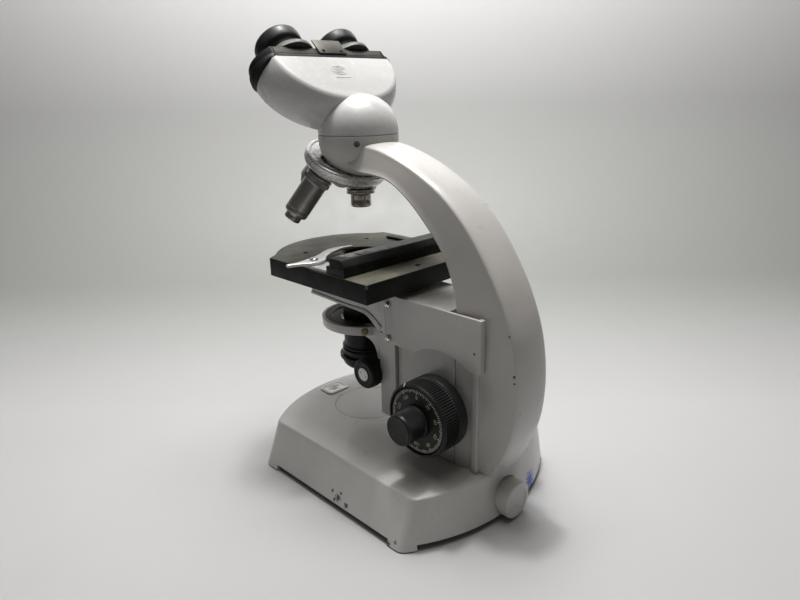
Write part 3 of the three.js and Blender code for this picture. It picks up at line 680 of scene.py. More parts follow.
def build_port_and_lamp():
    top = BASE_TOP_Z
    cover_low, cover_high = span("light_port_cover")
    r = cover_high.x
    cover = tube((0, r), (cover_low.z, top), 0.35, 128)
    piece("port_cover", cover, "light_port_cover", "base")
    glass_low, glass_high = span("light_port_glass")
    glass = tube((0, glass_high.x), (glass_low.z, glass_high.z), 0.3, 96)
    piece("port_glass", glass, "light_port_glass", "glass")

    low, high = span("lamp_cap")
    radius = high.x
    start, end = low.y, high.y
    cap = [
        (0, start), (radius, start, 0.3), (radius, end, 1.6), (radius - 4.5, end, 0.5),
        (radius - 5, end - 0.5, 0.4), (0, end - 0.5),
    ]
    cap = along_y(turned(soften(cap, 0.5, 5), 96), middle("lamp_cap").z)
    piece("lamp_housing_cap", cap, "lamp_cap", "base")
    low, high = span("lamp_socket")
    tube_r = (high.x - low.x) / 2
    socket = [
        (7, low.y), (tube_r, low.y), (tube_r, high.y - 6), (tube_r - 0.8, high.y - 6),
        (tube_r - 0.8, high.y), (7, high.y),
    ]
    socket = along_y(turned(soften(socket, 0.3), 64), middle("lamp_socket").z)
    piece("lamp_holder_tube", socket, "lamp_socket", "knob")
    bulb = [
        (0, 104), (2.5, 104.3), (4.6, 106), (5.9, 109), (6, 113), (5, 117.5), (4, 120), (4, 123, 0),
        (4.2, 123, 0), (4.2, 139.5), (0, 140),
    ]
    bulb = along_y(turned(soften(bulb, 0.6), 48), middle("lamp_bulb").z)
    piece("bulb", bulb, "lamp_bulb", "glass")
    mirror = block((-14, 14), (-19, 19), (-1.5, 1.5))
    tilt = Matrix.Translation(middle("light_mirror")) @ spin(math.pi / 4, "X")
    piece("mirror_plate", moved(rounded(mirror, 0.4), tilt), "light_mirror", "mirror")


def round_rect(x, y, radius, steps=6):
    """Outline of a rectangle with round corners."""
    out = []
    for cx, cy, start in ((x[1] - radius, y[1] - radius, 0), (x[0] + radius, y[1] - radius, 1),
                          (x[0] + radius, y[0] + radius, 2), (x[1] - radius, y[0] + radius, 3)):
        for k in range(steps + 1):
            angle = math.pi / 2 * (start + k / steps)
            out.append((cx + radius * math.cos(angle), cy + radius * math.sin(angle)))
    return out


def emblem(centre, size, z, depth=0.35):
    """Generic relief: two nested lens outlines and three bars."""
    parts = []
    cx, cy = centre
    for scale in (1.0, 0.66):
        ring = []
        for i in range(48):
            angle = 2 * math.pi * i / 48
            ring.append((cx + size * scale * math.cos(angle), cy + 0.62 * size * scale * math.sin(angle)))
        inner = [(cx + (x - cx) * 0.9, cy + (y - cy) * 0.86) for x, y in ring]
        bm = bmesh.new()
        levels = []
        for outline, level in ((ring, z[0]), (ring, z[1]), (inner, z[1]), (inner, z[0])):
            levels.append([bm.verts.new((x, y, level)) for x, y in outline])
        for a, b in zip(levels, levels[1:] + levels[:1]):
            for i in range(48):
                k = (i + 1) % 48
                bm.faces.new((a[i], a[k], b[k], b[i]))
        bmesh.ops.recalc_face_normals(bm, faces=bm.faces)
        parts.append(bm)
    for k, width in enumerate((0.5, 0.34, 0.5)):
        y = cy + (k - 1) * size * 0.2
        across, thick = size * width, size * 0.045
        parts.append(block((cx - across, cx + across), (y - thick, y + thick), z))
    return merged(*parts)


def build_badge():
    low, high = span("base_badge")
    plate = slab(round_rect((low.x, high.x), (low.y, high.y), 2.0, 2), (low.z, high.z - 0.35))
    plate = rounded(plate, 0.35, 2, 60)
    frame_out = round_rect((low.x + 1.2, high.x - 1.2), (low.y + 1.2, high.y - 1.2), 1.8)
    frame_in = round_rect((low.x + 2.0, high.x - 2.0), (low.y + 2.0, high.y - 2.0), 1.2)
    z = (high.z - 0.6, high.z)
    rim = cut(slab(frame_out, z), slab(frame_in, (z[0] - 1, z[1] + 1)))
    centre = ((low.x + high.x) / 2, (low.y + high.y) / 2)
    mark = emblem(centre, 7.2, z)
    piece("badge_plate", merged(plate, rim, mark), "base_badge", "badge")


# ---------------------------------------------------------------- arm
ARM_STATIONS = [
    # inner edge, side ridge, crown: y and z seen from the side
    ((6, 273), (6, 281.5), (6, 286)), ((22, 263), (22, 281), (22, 285.5)),
    ((40, 261), (40, 279), (40, 283.5)), ((58, 258), (64, 272), (65, 276)),
    ((78, 246.5), (88, 261.5), (90, 265)), ((98, 228.5), (110, 248), (112.5, 251.5)),
    ((113, 211), (131, 228.5), (134, 231.5)), ((122, 193), (149, 204.5), (152.5, 206.5)),
    ((127, 172), (162.5, 181), (166, 182)), ((127, 146), (173, 152), (176.5, 152.5)),
    ((127, 116), (177.5, 117), (180.97, 117)), ((127, 84), (174.8, 84), (178, 84)),
    ((127, 58), (166, 58), (169, 58)), ((127, 42), (158.5, 42), (161, 42)),
]
ARM_HALF = 25
RIDGE_HALF = 19.5
ARM_SOFT = 1.6


def catmull(points, t):
    """A point on the centripetal spline through points; t runs from 0 to 1."""
    spot = t * (len(points) - 1)
    i = min(int(spot), len(points) - 2)
    s = spot - i
    p1, p2 = points[i], points[i + 1]
    p0 = points[i - 1] if i > 0 else p1 * 2 - p2
    p3 = points[i + 2] if i + 2 < len(points) else p2 * 2 - p1
    d0, d1, d2 = (max((b - a).length ** 0.5, 1e-4) for a, b in ((p0, p1), (p1, p2), (p2, p3)))
    m1 = ((p1 - p0) / d0 - (p2 - p0) / (d0 + d1) + (p2 - p1) / d1) * d1
    m2 = ((p2 - p1) / d1 - (p3 - p1) / (d1 + d2) + (p3 - p2) / d2) * d1
    return (
        p1 * (2 * s ** 3 - 3 * s ** 2 + 1) + m1 * (s ** 3 - 2 * s ** 2 + s)
        + p2 * (3 * s ** 2 - 2 * s ** 3) + m2 * (s ** 3 - s ** 2)
    )


def arm_section(low, ridge, crown):
    """One closed section of the arm: flat inner face, tapering sides and a crowned back."""
    depth = (ridge - low).length
    out = []
    for side in (-1, 1):
        for k in range(4, -1, -1):
            turn = math.pi / 2 * k / 4
            edge = (1 - math.sin(turn), 1 - math.cos(turn))
            across, down = edge if side < 0 else reversed(edge)
            out.append((side * (ARM_HALF - ARM_SOFT * across), low.lerp(ridge, ARM_SOFT * down / depth)))
    rising = [(ARM_HALF + (RIDGE_HALF - ARM_HALF) * k / 6, low.lerp(ridge, k / 6)) for k in range(1, 6)]
    out += rising
    for k in range(25):
        turn = math.pi * k / 24
        out.append((RIDGE_HALF * math.cos(turn), ridge.lerp(crown, math.sin(turn) ** 0.85)))
    out += [(-x, point) for x, point in reversed(rising)]
    return [Vector((x, point.x, point.y)) for x, point in out]


def build_arm():
    lines = [[Vector(station[k]) for station in ARM_STATIONS] for k in range(3)]
    steps = 72
    rings = [arm_section(*(catmull(line, k / steps) for line in lines)) for k in range(steps + 1)]
    arm = skin(rings)

    r = DOME_R
    bowl = [(0, BOWL_Z - r)]
    for k in range(1, 31):
        turn = math.pi / 2 * k / 30
        bowl.append((r * math.sin(turn), BOWL_Z - r * math.cos(turn)))
    bowl += [(r, SEAM_Z - 0.7), (r - 0.15, SEAM_Z - 0.25), (r - 0.6, SEAM_Z), (0, SEAM_Z)]
    bowl = turned(bowl, 128)
    above = moved(block((-60, 60), (-80, 40), (-34.3, 40)), TURRET_PIVOT)
    bowl = combined(bowl, "INTERSECT", above)
    strips = []
    for side in (-1, 1):
        x = sorted((side * 20, side * 25.2))
        strips.append(rounded(block(x, (143.6, 149), (42, 150)), 0.8, 3))
    pin = moved(rod(4.9, -60, -29, 32), TURRET_PIVOT)
    clamp = rod(2.3, 24, 60, 32)
    swing = spin(math.radians(46), "Z") @ shift(0, 0, SEAM_Z - 6) @ spin(math.pi / 2, "Y")
    body = join(arm, bowl, *strips)
    body = cut(
        body,
        rod(8, 230, 300, 48),
        pin,
        moved(clamp, swing),
        block((-30, 30), (100, 200), (30, 42)),
    )
    piece("arm_shell", body, "arm_casting", "arm", crease=30)

    screw = soften([(0, 24.5), (1.9, 24.5), (1.9, 31), (0, 31)], 0.3)
    screw = cut(turned(screw, 32), block((-3, 3), (-0.35, 0.35), (30, 33)))
    piece("clamp_screw", moved(screw, swing), "head_clamp_screw", "steel")


# ---------------------------------------------------------------- focus drive
def knurl(count, depth, low, high, beyond, fade):
    """Ribs along the axis between two heights, beyond a radius."""

    def ripple(angle, r, z):
        if r <= beyond or not low <= z <= high:
            return 0
        edge = min(1, (z - low) / fade, (high - z) / fade)
        return -depth * edge * (0.5 + 0.5 * math.cos(angle * count)) ** 0.6

    return ripple


def build_housing():
    low, high = span("focus_housing")
    body = cut(
        node_block("focus_housing", 0.9, 3),
        block((-14, 14), (low.y - 1, 83), (60, high.z + 1)),
        on_knob_axis(rod(7, -40, 40, 48)),
    )
    piece("housing_shell", body, "focus_housing", "carrier")
    piece("slide_block", node_block("coarse_slide", 0.5, 2), "coarse_slide", "steel")
    for side, name in ((1, "right"), (-1, "left")):
        flange = soften([(7.6, 25.3), (19, 25.3), (18.4, 28), (7.6, 28)], 0.5)
        piece(
            f"bearing_collar_{name}", on_knob_axis(turned(flange, 72), side),
            f"bearing_flange_{name}", "enamel",
        )


def tick_ring(radius, x, count, side):
    """Graduation lines on the drum's face."""
    parts = []
    for i in range(count):
        long = i % 10 == 0
        length = 3.4 if long else (2.8 if i % 5 == 0 else 2.2)
        width = 0.3 if long else 0.22
        line = block((radius - length, radius), (-width, width), (x - 0.02, x + 0.04))
        parts.append(moved(line, spin(2 * math.pi * i / count, "Z")))
    return on_knob_axis(merged(*parts), side)


def numerals(radius, x, labels, size, side):
    """Dial numbers round the drum's face, reading along the rim."""
    parts = []
    for i, label in enumerate(labels):
        curve = bpy.data.curves.new("numeral", "FONT")
        curve.body = label
        curve.size = size
        curve.align_x = "CENTER"
        curve.align_y = "CENTER"
        curve.extrude = 0.03
        curve.resolution_u = 3
        obj = bpy.data.objects.new("numeral", curve)
        bpy.context.scene.collection.objects.link(obj)
        bpy.context.view_layer.update()
        bm = applied(obj)
        angle = math.pi / 2 - 2 * math.pi * i / len(labels)
        where = spin(angle, "Z") @ shift(radius, 0, x) @ spin(-math.pi / 2, "Z")
        parts.append(moved(bm, where))
    bm = merged(*parts)
    # the dial is laid down facing along X with its top upwards
    bm.transform(spin(math.pi / 2, "Z"))
    return on_knob_axis(bm, side)


DIAL_X = 55.03
GRADUATIONS = 100


def build_knobs():
    outer = span("coarse_knob_right")
    start, end = outer[0].x, outer[1].x
    r = KNOB_HALF_Y
    coarse = [
        (6.4, start), (r - 2.2, start, 1.0), (r, start + 2.2, 1.0), (r, 38.2, 0.3),
        (r - 0.5, 38.6, 0.2), (r - 0.5, 39.2, 0.2), (r, 39.6, 0.2), (r, 54.2, 0.3), (r - 1.4, end, 0.5),
        (r - 2.7, end, 0.4), (r - 2.7, 52.6, 0.3), (6.4, 52.5),
    ]
    coarse = divided(soften(coarse, 0.4, 3), r - 0.05, 10, 12, closed=True)
    ribs = knurl(90, 0.9, 39.8, 54.4, r - 0.35, 0.6)
    drum = [(3.4, 52.9), (26, 52.9, 0.2), (26, 55, 0.4), (3.4, 55, 0.1)]
    fine = [
        (0, 55.3), (12.4, 55.3, 0.3), (13, 56, 0.3), (13, 57.8, 0.3), (12.2, 58.4, 0.2),
        (12.2, 72.8, 0.2), (12, 73.4, 0.2), (11.9, 74.6, 0.6), (10.7, 75.5, 0.5), (10, 75.2, 0.3),
        (0, 75.2),
    ]
    fine = divided(soften(fine, 0.4, 3), 12.15, 5, 26)

    def crossed(angle, radius, z):
        if not 58.5 < z < 72.7 or radius < 12:
            return 0
        return -0.5 * (0.5 + 0.5 * math.cos(angle * 54))

    labels = [str(20 * k) for k in range(10)]
    for side, name in ((1, "right"), (-1, "left")):
        wheel = on_knob_axis(turned(coarse, 720, ribs), side)
        piece(f"coarse_wheel_{name}", wheel, f"coarse_knob_{name}", "knob")
        dial = on_knob_axis(turned(soften(drum, 0.4), 128), side)
        piece(f"fine_scale_{name}", dial, f"fine_drum_{name}", "drum")
        grip = on_knob_axis(turned(fine, 432, crossed), side)
        piece(f"fine_grip_{name}", grip, f"fine_knob_{name}", "knob")
        lines = tick_ring(25.3, DIAL_X, GRADUATIONS, side)
        detail(f"scale_lines_{name}", lines, f"fine_drum_{name}", "white")
        numbers = numerals(19.2, DIAL_X, labels, 4.2, side)
        detail(f"scale_numbers_{name}", numbers, f"fine_drum_{name}", "ochre")
        mark = block((-1.5, 1.5), (-0.5, 0.5), (-0.05, 0.15))
        chamfer = shift(r - 0.75, 0, (54.2 + end) / 2) @ spin(math.radians(52), "Y")
        mark = moved(mark, spin(math.radians(180 + 25), "Z") @ chamfer)
        mark = on_knob_axis(mark, side)
        detail(f"index_line_{name}", mark, f"coarse_knob_{name}", "white")


def build_shafts():
    low, high = span("coarse_shaft")
    piece(
        "coarse_axle", on_knob_axis(tube((3.4, 6), (low.x, high.x), 0.3, 48)),
        "coarse_shaft", "steel",
    )
    low, high = span("fine_shaft")
    piece(
        "fine_axle", on_knob_axis(tube((0, 3), (low.x, high.x), 0.3, 32)),
        "fine_shaft", "steel",
    )


def build_carrier():
    high = span("focus_carrier")[1]
    half, top = high.x, high.z
    arch_r = 48
    column = block((-half, half), (48.3, 66), (60, 134.5))
    upper = block((-half, half), (56, 66), (133, top))
    lid = block((-half, half), (65, 122), (top - 4, top))
    body = join(column, upper, lid)
    for side in (-1, 1):
        x = sorted((side * (half - 2.5), side * half))
        lip = sorted((side * (half - 5), side * half))
        body = join(body, block(x, (62, high.y), (127.5, top)), block(lip, (149.6, high.y), (127.5, top)))
    arch = on_knob_axis(rod(arch_r, -40, 40, 160))
    keep = block((-50, 50), (66.5, 200), (0, top - 4.2))
    body = cut(body, combined(arch, "INTERSECT", keep))
    target = to_object(body, "carrier")
    bevel = target.modifiers.new("soft", "BEVEL")
    bevel.width = 1.3
    bevel.segments = 3
    bevel.limit_method = "ANGLE"
    bevel.angle_limit = math.radians(40)
    body = applied(target)
    for side in (-1, 1):
        hole = rod(1.0, 20, 40, 24)
        body = cut(body, along_x(hole, 147.5, 143, side))
    piece("carrier_shell", body, "focus_carrier", "carrier")


BRACKET_ARCH = [
    (46.5, 134.5), (42, 138.3), (36, 142.8), (30, 145.4), (20, 146.3), (0, 147), (-20, 147.8),
    (-42.5, 148.5),
]


def smooth_line(points, steps):
    """Points along the spline through a list."""
    line = [Vector(point) for point in points]
    return [catmull(line, k / steps) for k in range(steps + 1)]


def build_bracket():
    high = span("stage_bracket")[1]
    top, rear = high.z, high.y
    arch = smooth_line(BRACKET_ARCH, 56)
    outline = [tuple(p) for p in arch] + [(-42.5, top), (rear, top), (rear, 134.5)]
    body = side_slab(outline, (-27.1, 27.1))
    body = rounded(body, 0.6, 2, 40)
    body = cut(
        body,
        block((-23.5, 23.5), (-38, 48), (100, top - 4)),
        rod(24, 100, top + 2, 72),
    )
    rims = []
    upper_edge = []
    for k, p in enumerate(arch):
        step = arch[min(k + 1, len(arch) - 1)] - arch[max(k - 1, 0)]
        across = Vector((step.y, -step.x)).normalized()
        width = 2.8 + 3.4 * max(0, (p.x - 10) / 36.5) ** 1.3
        upper_edge.append(p + across * math.copysign(width, across.y))
    for side in (-1, 1):
        band = [tuple(p) for p in arch] + [tuple(p) for p in reversed(upper_edge)]
        x = sorted((side * 26, side * 28))
        rims.append(rounded(side_slab(band, x), 0.6, 3, 50))
        foot = [(rear - 4.2, 134.5), (rear, 134.5), (rear, top), (rear - 4.2, top)]
        rims.append(rounded(side_slab(foot, x), 0.5, 2, 50))
    piece("bracket_shell", merged(body, *rims), "stage_bracket", "carrier")

    for name in ("upper", "lower"):
        node = f"bracket_screw_{name}"
        at = middle(node)
        low, high = span(node)
        head = soften([
            (0, low.x), (2.9, low.x, 0.2), (2.9, low.x + 1.0, 0.4), (1.6, high.x, 0.4), (0, high.x),
        ], 0.3)
        bm = cut(turned(head, 48), block((-4, 4), (-0.35, 0.35), (high.x - 0.7, high.x + 1)))
        bm.transform(spin(math.radians(35 if name == "upper" else -20), "Z"))
        piece(f"screw_head_{name}", along_x(bm, at.y, at.z), node, "chrome")


# ---------------------------------------------------------------- stage
def stage_outline(inset=0.0):
    half = STAGE_HIGH.x - inset
    rear = STAGE_HIGH.y - inset
    radius = 72.6 - inset
    centre = -5.75
    meet = 57 - inset
    turn = math.asin(meet / radius)
    out = [(half, rear), (-half, rear), (-half, -44)]
    for k in range(61):
        angle = -math.pi / 2 - turn + 2 * turn * k / 60
        out.append((radius * math.cos(angle), centre + radius * math.sin(angle)))
    out.append((half, -44))
    return out


def build_stage():
    top, low = STAGE_HIGH.z, STAGE_LOW.z
    body = slab(stage_outline(), (low, top))
    body = rounded(body, 0.7, 3, 35)
    hole = turned([
        (0, low - 1), (17, low - 1), (17, top - 1.0), (18.2, top - 1.0), (18.2, top + 1), (0, top + 1),
    ], 96)
    pins = []
    for x, y in ((36.5, -35), (-36.5, -35), (2, 68)):
        pin = turned([
            (0, top - 3), (1.9, top - 3), (1.9, top - 0.5), (2.4, top + 0.2), (2.4, top + 1),
            (0, top + 1),
        ], 32)
        pins.append(moved(pin, shift(x, y, 0)))
    piece("stage_table", cut(body, hole, *pins), "stage_plate", "stage")


LEVER_LINE = [(83, 3), (71, 6), (58, 7), (44, -1), (30, -8.5), (18, -10.5), (5, -8)]
LEVER_PIVOT = (59, 7)


def lever_outline(shrink=0.0, steps=64):
    left, right = [], []
    line = [Vector(point) for point in LEVER_LINE]
    for i in range(steps + 1):
        t = i / steps
        here = catmull(line, t)
        step = (catmull(line, min(1, t + 0.004)) - catmull(line, max(0, t - 0.004))).normalized()
        width = 1.8 + 5.6 * math.exp(-(((t - 0.32) / 0.15) ** 2))
        width += 2.4 * math.exp(-(((t - 0.68) / 0.2) ** 2))
        width = max(0.4, width - shrink)
        if i in (0, steps):
            here = here + step * (shrink if i == 0 else -shrink)
        side = Vector((-step.y, step.x)) * width
        left.append(here + side)
        right.insert(0, here - side)
    return left + right


def pivot_bore(radius):
    return moved(rod(radius, 180, 200, 32), shift(*LEVER_PIVOT, 0))


def build_rest_bar():
    low, high = span("slide_rest_bar")
    z0, z1 = low.z, high.z
    step_z = z0 + 2.2
    bar = side_slab([
        (32, z0), (53.5, z0), (53.5, z1 - 5), (50, z1), (36, z1), (36, 196), (32, 196),
    ], (-55, high.x))
    bar = rounded(bar, 0.5, 3, 25)
    grooves = []
    for z in (z0 + 3.2, z0 + 5.4):
        grooves.append(block((-70, 70), (53.1, 54), (z, z + 0.45)))
    grooves.append(block((high.x - 0.4, high.x + 1), (32, 54), (196.4, 196.9)))
    grooves.append(block((44, 45), (30, 60), (z1 - 0.5, z1 + 1)))
    bar = cut(bar, *grooves)
    step = slab(round_rect((50, high.x), (-2, 33.6), 3), (z0, step_z))
    step = cut(rounded(step, 0.3, 2, 60), pivot_bore(2.3))
    finger = rounded(slab(round_rect((-54, -49), (-22, 34), 1.5), (z0, step_z)), 0.5, 2, 60)
    piece("rest_bar", merged(bar, finger), "slide_rest_bar", "bar")
    detail("rest_step", step, "slide_rest_bar", "step")


def build_lever():
    low, high = span("slide_lever")
    z0, z1 = low.z, high.z
    rings = []
    edges = (
        (z0, 0.5), (z0 + 0.25, 0.12), (z0 + 0.6, 0), (z1 - 0.8, 0), (z1 - 0.35, 0.18), (z1 - 0.1, 0.5),
        (z1, 1.1),
    )
    for z, shrink in edges:
        rings.append([Vector((p.x, p.y, z)) for p in lever_outline(shrink)])
    lever = skin(rings)
    piece("clip_lever", cut(lever, pivot_bore(2.2)), "slide_lever", "lever", crease=40)

    low, high = span("lever_pivot_screw")
    z0, z1 = low.z, high.z
    screw = soften([
        (0, z0), (2, z0), (2, z1 - 1.7, 0.1), (3.6, z1 - 1.7, 0.3), (3.6, z1 - 0.6, 0.4),
        (2.6, z1, 0.5), (0, z1),
    ], 0.3)
    screw = cut(turned(screw, 48), block((-5, 5), (-0.4, 0.4), (z1 - 0.8, z1 + 1)))
    screw.transform(shift(*LEVER_PIVOT, 0) @ spin(math.radians(25), "Z"))
    piece("pivot_screw_head", screw, "lever_pivot_screw", "chrome")


# ---------------------------------------------------------------- condenser
def build_condenser_ring():
    high = span("condenser_carrier")[1]
    ring_top, ring_r = high.z, high.x
    ring_low = ring_top - 8
    ring = soften(
        [(22.5, ring_low), (ring_r - 0.4, ring_low, 0.8), (ring_r, ring_top, 0.7),
         (36.4, ring_top, 0.3), (36.2, ring_top - 0.7, 0.2),
         (30.4, ring_top - 0.7, 0.2), (30, ring_top - 2, 0.3), (22.5, ring_top - 2)], 0.4, 3)
    curve = smooth_line([(20, 121.5), (28, 119.5), (33, 116), (36, 110), (36.8, 104.6)], 20)
    outline = [tuple(p) for p in curve] + [(47.7, 104.6), (47.7, ring_top - 0.1), (20, ring_top - 0.1)]
    web = rounded(side_slab(outline, (-20.8, 20.8)), 0.8, 3, 50)
    web = cut(web, rod(22.5, 100, 140, 96), rod(30, ring_top - 2, 140, 96))
    face = tube((22.6, 30.3), (ring_top - 1.95, ring_top - 1.8), 0.05, 96)
    swing = spin(math.radians(47), "Z") @ shift(0, 0, ring_top - 4) @ spin(math.pi / 2, "Y")
    recess = moved(turned([
        (0, 21), (2.2, 21), (2.2, ring_r - 1.2), (3.4, ring_r - 0.9), (3.4, 60), (0, 60),
    ], 40), swing)
    body = cut(join(turned(ring, 128), web), recess)
    piece("condenser_ring", body, "condenser_carrier", "carrier")
    detail("condenser_ring_face", face, "condenser_carrier", "olive_ring")
    top_face = tube((30.6, 36.1), (ring_top - 0.68, ring_top - 0.5), 0.05, 96)
    detail("condenser_ring_step", top_face, "condenser_carrier", "olive_ring")
    screw = soften([
        (0, 26), (1.9, 26), (1.9, ring_r - 0.9, 0.1), (3.0, ring_r - 0.9, 0.2),
        (2.8, ring_r + 0.5, 0.4), (0, ring_r + 0.7),
    ], 0.3)
    screw = cut(turned(screw, 40), block((-4, 4), (-0.4, 0.4), (ring_r - 0.2, ring_r + 2)))
    piece("ring_clamp_screw", moved(screw, swing), "condenser_clamp_screw", "brass")


def build_condenser_body():
    body = [
        (0, 84), (19, 84, 0.5), (22, 87, 2.5), (22, 100.4, 0.6), (21.2, 101.2, 0.3), (20.6, 101.2, 0.3),
        (20.6, 102.4, 0.3), (22, 102.6, 0.4), (22, 103.6, 0.4), (20, 104.6, 0.6), (20, 150, 0.3),
        (19.4, 150.4, 0.2), (19.4, 151.4, 0.2), (20, 151.8, 0.3), (20, 166, 1.0), (15.5, 168.4, 0.6),
        (10, 168.4, 0.3), (9.6, 167.4), (0, 167.3),
    ]
    piece("condenser_barrel", turned(soften(body, 0.5), 128), "condenser_body", "enamel")
    lens = [(0, 167.6), (9, 167.6, 0.1), (9, 168.2, 0.2), (7.5, 168.9, 2), (4, 169.7, 2), (0, 169.95)]
    piece("condenser_lens", turned(soften(lens, 0.4), 72), "condenser_top_lens", "glass")
    z = middle("iris_lever").z
    ring = tube((22.4, 24.6), (z - 1.5, z + 1.5), 0.4, 96)
    stem = rounded(block((-1.1, 1.1), (24.2, 31), (z - 0.8, z + 0.8)), 0.3, 2)
    ball = bmesh.new()
    bmesh.ops.create_uvsphere(ball, u_segments=24, v_segments=16, radius=1.45)
    ball.transform(shift(0, 33.3, z) @ Matrix.Diagonal((0.85, 1.15, 0.95, 1)))
    neck = rounded(block((-0.7, 0.7), (30.6, 32.6), (z - 0.6, z + 0.6)), 0.2, 2)
    handle = merged(stem, neck, ball)
    handle.transform(spin(math.radians(160), "Z"))
    piece("iris_ring", merged(ring, handle), "iris_lever", "enamel")


def build_condenser_knob():
    at = middle("condenser_knob")
    mount = cut(node_block("condenser_pinion_block", 1.6, 4), along_x(rod(4.4, 10, 40, 32), at.y, at.z))
    piece("pinion_mount", mount, "condenser_pinion_block", "enamel")
    face = span("condenser_knob")[1].x
    knob = [
        (0, 21.6), (4, 21.6), (4, 28, 0.3), (12.2, 28, 0.5), (13, 28.8, 0.5), (13, face - 1.6, 0.8),
        (11.4, face, 0.5), (9.4, face, 0.2), (9.2, face - 0.45, 0.2), (6.6, face - 0.45, 0.2),
        (6.4, face - 0.1, 0.2), (0, face - 0.1),
    ]
    knob = divided(soften(knob, 0.3, 3), 12.9, 4, 8)
    bm = turned(knob, 288, knurl(72, 0.3, 29.6, face - 2.2, 12.5, 0.5))
    piece("condenser_wheel", along_x(bm, at.y, at.z), "condenser_knob", "knob")
    disc = tube((0, 5.8), (face - 0.5, face - 0.02), 0.25, 48)
    holes = []
    for turn in (70, 250):
        pin = rod(0.65, face - 0.4, face + 1, 20)
        angle = math.radians(turn)
        holes.append(moved(pin, shift(3.4 * math.cos(angle), 3.4 * math.sin(angle), 0)))
    disc = along_x(cut(disc, *holes), at.y, at.z)
    detail("condenser_wheel_disc", disc, "condenser_knob", "disc")


# ---------------------------------------------------------------- nosepiece
SEAT = 55.8  # from the turret's apex to the shoulders of the objectives


def build_turret():
    tilt = math.tan(TURRET_TILT)
    seat_r = SEAT * math.sin(TURRET_TILT)
    seat_s = SEAT * math.cos(TURRET_TILT)

    def cone(r):
        return seat_s - (r - seat_r) * tilt

    upper, ring_r, ring_top, ring_end = 34.9, 35.9, 36.0, 43.1
    profile = [
        (4.9, -upper), (29.5, -upper, 0.2), (30, -upper - 0.5, 0.3), (31.5, -upper - 0.5, 0.3),
        (32, -upper, 0.3), (34.3, -upper, 0.8), (ring_r, -ring_top - 0.3, 0.5),
        (ring_r, -ring_end + 1.0, 0.3), (ring_r - 0.5, -ring_end, 0.4), (34.4, -cone(34.4) + 0.4, 0.5),
        (33.6, -cone(33.6), 0.4), (9, -cone(9)), (4.9, -cone(9)),
    ]
    profile = divided(soften(profile, 0.4, 3), ring_r - 0.05, 3, 8, closed=True)
    disc = turned(profile, 450, knurl(150, 0.34, -ring_end + 1.3, -ring_top - 1.0, ring_r - 0.25, 0.5))
    bores = []
    for k in range(4):
        bore = rod(8.2, -SEAT - 10, -40, 48)
        bores.append(moved(bore, spin(-k * math.pi / 2, "Z") @ spin(TURRET_TILT, "X")))
    piece("revolving_disc", cut(disc, *bores), "turret_disc", "turret", TURRET, crease=38)
    pin = [
        (0, -29.4), (4.5, -29.4), (4.5, -cone(9) - 0.4, 0), (8, -cone(9) - 0.4, 0.3), (7.4, -61, 0.8),
        (2.2, -61, 0.2), (2, -60.4), (0, -60.4),
    ]
    piece("revolving_pin", turned(soften(pin, 0.3), 64), "turret_pivot", "steel", TURRET)


OBJECTIVES = {
    # quarter turn, profile below the shoulder, knurled stretch
    "objective_scan": (0, [
        (0, 0), (8, 0), (12, 0.3, 0.3), (12, 1.6, 0.3), (11.4, 1.9, 0.2), (11.4, 2.3, 0.2),
        (12, 2.6, 0.3), (12, 4, 0.4), (9.4, 4.6, 0.3), (8.7, 5.4, 0.3), (8.7, 9, 0.2), (8.3, 9.3, 0.2),
        (8.3, 9.8, 0.2), (8.7, 10.1, 0.2), (8.7, 14.6, 0.4), (7.9, 15.4, 0.5),
        (4.2, 15.4, 0.3), (3.6, 14.4), (0, 14.2)], (2.6, 4)),
    "objective_high": (1, [
        (0, 0), (8, 0), (11.8, 0.2, 0.3), (11.8, 2, 0.3), (11.1, 2.3, 0.2), (11.1, 2.8, 0.2),
        (11.8, 3.1, 0.3), (11.8, 6.5, 0.5), (10.8, 7.2, 0.3), (10.4, 8, 0.4), (10.4, 33.6, 0.2),
        (10.1, 33.8, 0.1), (10.1, 34.1, 0.1), (10.4, 34.3, 0.2), (10.4, 37.5, 0.4), (9.6, 39, 0.4),
        (7.6, 39, 0.2), (7.3, 40.6, 0.2), (7.0, 40.8, 0.1), (7.0, 41.2, 0.1), (7.3, 41.4, 0.2),
        (7.2, 44.2, 0.4), (6.4, 45, 0.4), (3.1, 45, 0.2), (2.6, 44.4), (0, 44.2)],
        (3.1, 6.5)),
    "objective_medium": (2, [
        (0, 0), (8, 0), (11.8, 0.2, 0.3), (11.8, 6.5, 0.5), (10.4, 7.4, 0.3), (10, 8, 0.4),
        (10, 30, 0.5), (8.6, 31.6, 0.4), (8.2, 33.4, 0.3),
        (6.5, 38.4, 0.4), (5.8, 39.5, 0.3), (3.1, 39.5, 0.2), (2.6, 38.9), (0, 38.7)], (1.6, 6)),
    "objective_low": (3, [
        (0, 0), (8, 0), (11.8, 0.2, 0.3), (11.8, 5, 0.4), (10, 5.6, 0.3), (9.6, 6.4, 0.4),
        (9.6, 20, 0.5), (8.8, 21, 0.4), (4.2, 21, 0.2),
        (3.6, 20.2), (0, 20)], (1.2, 4.6)),
}


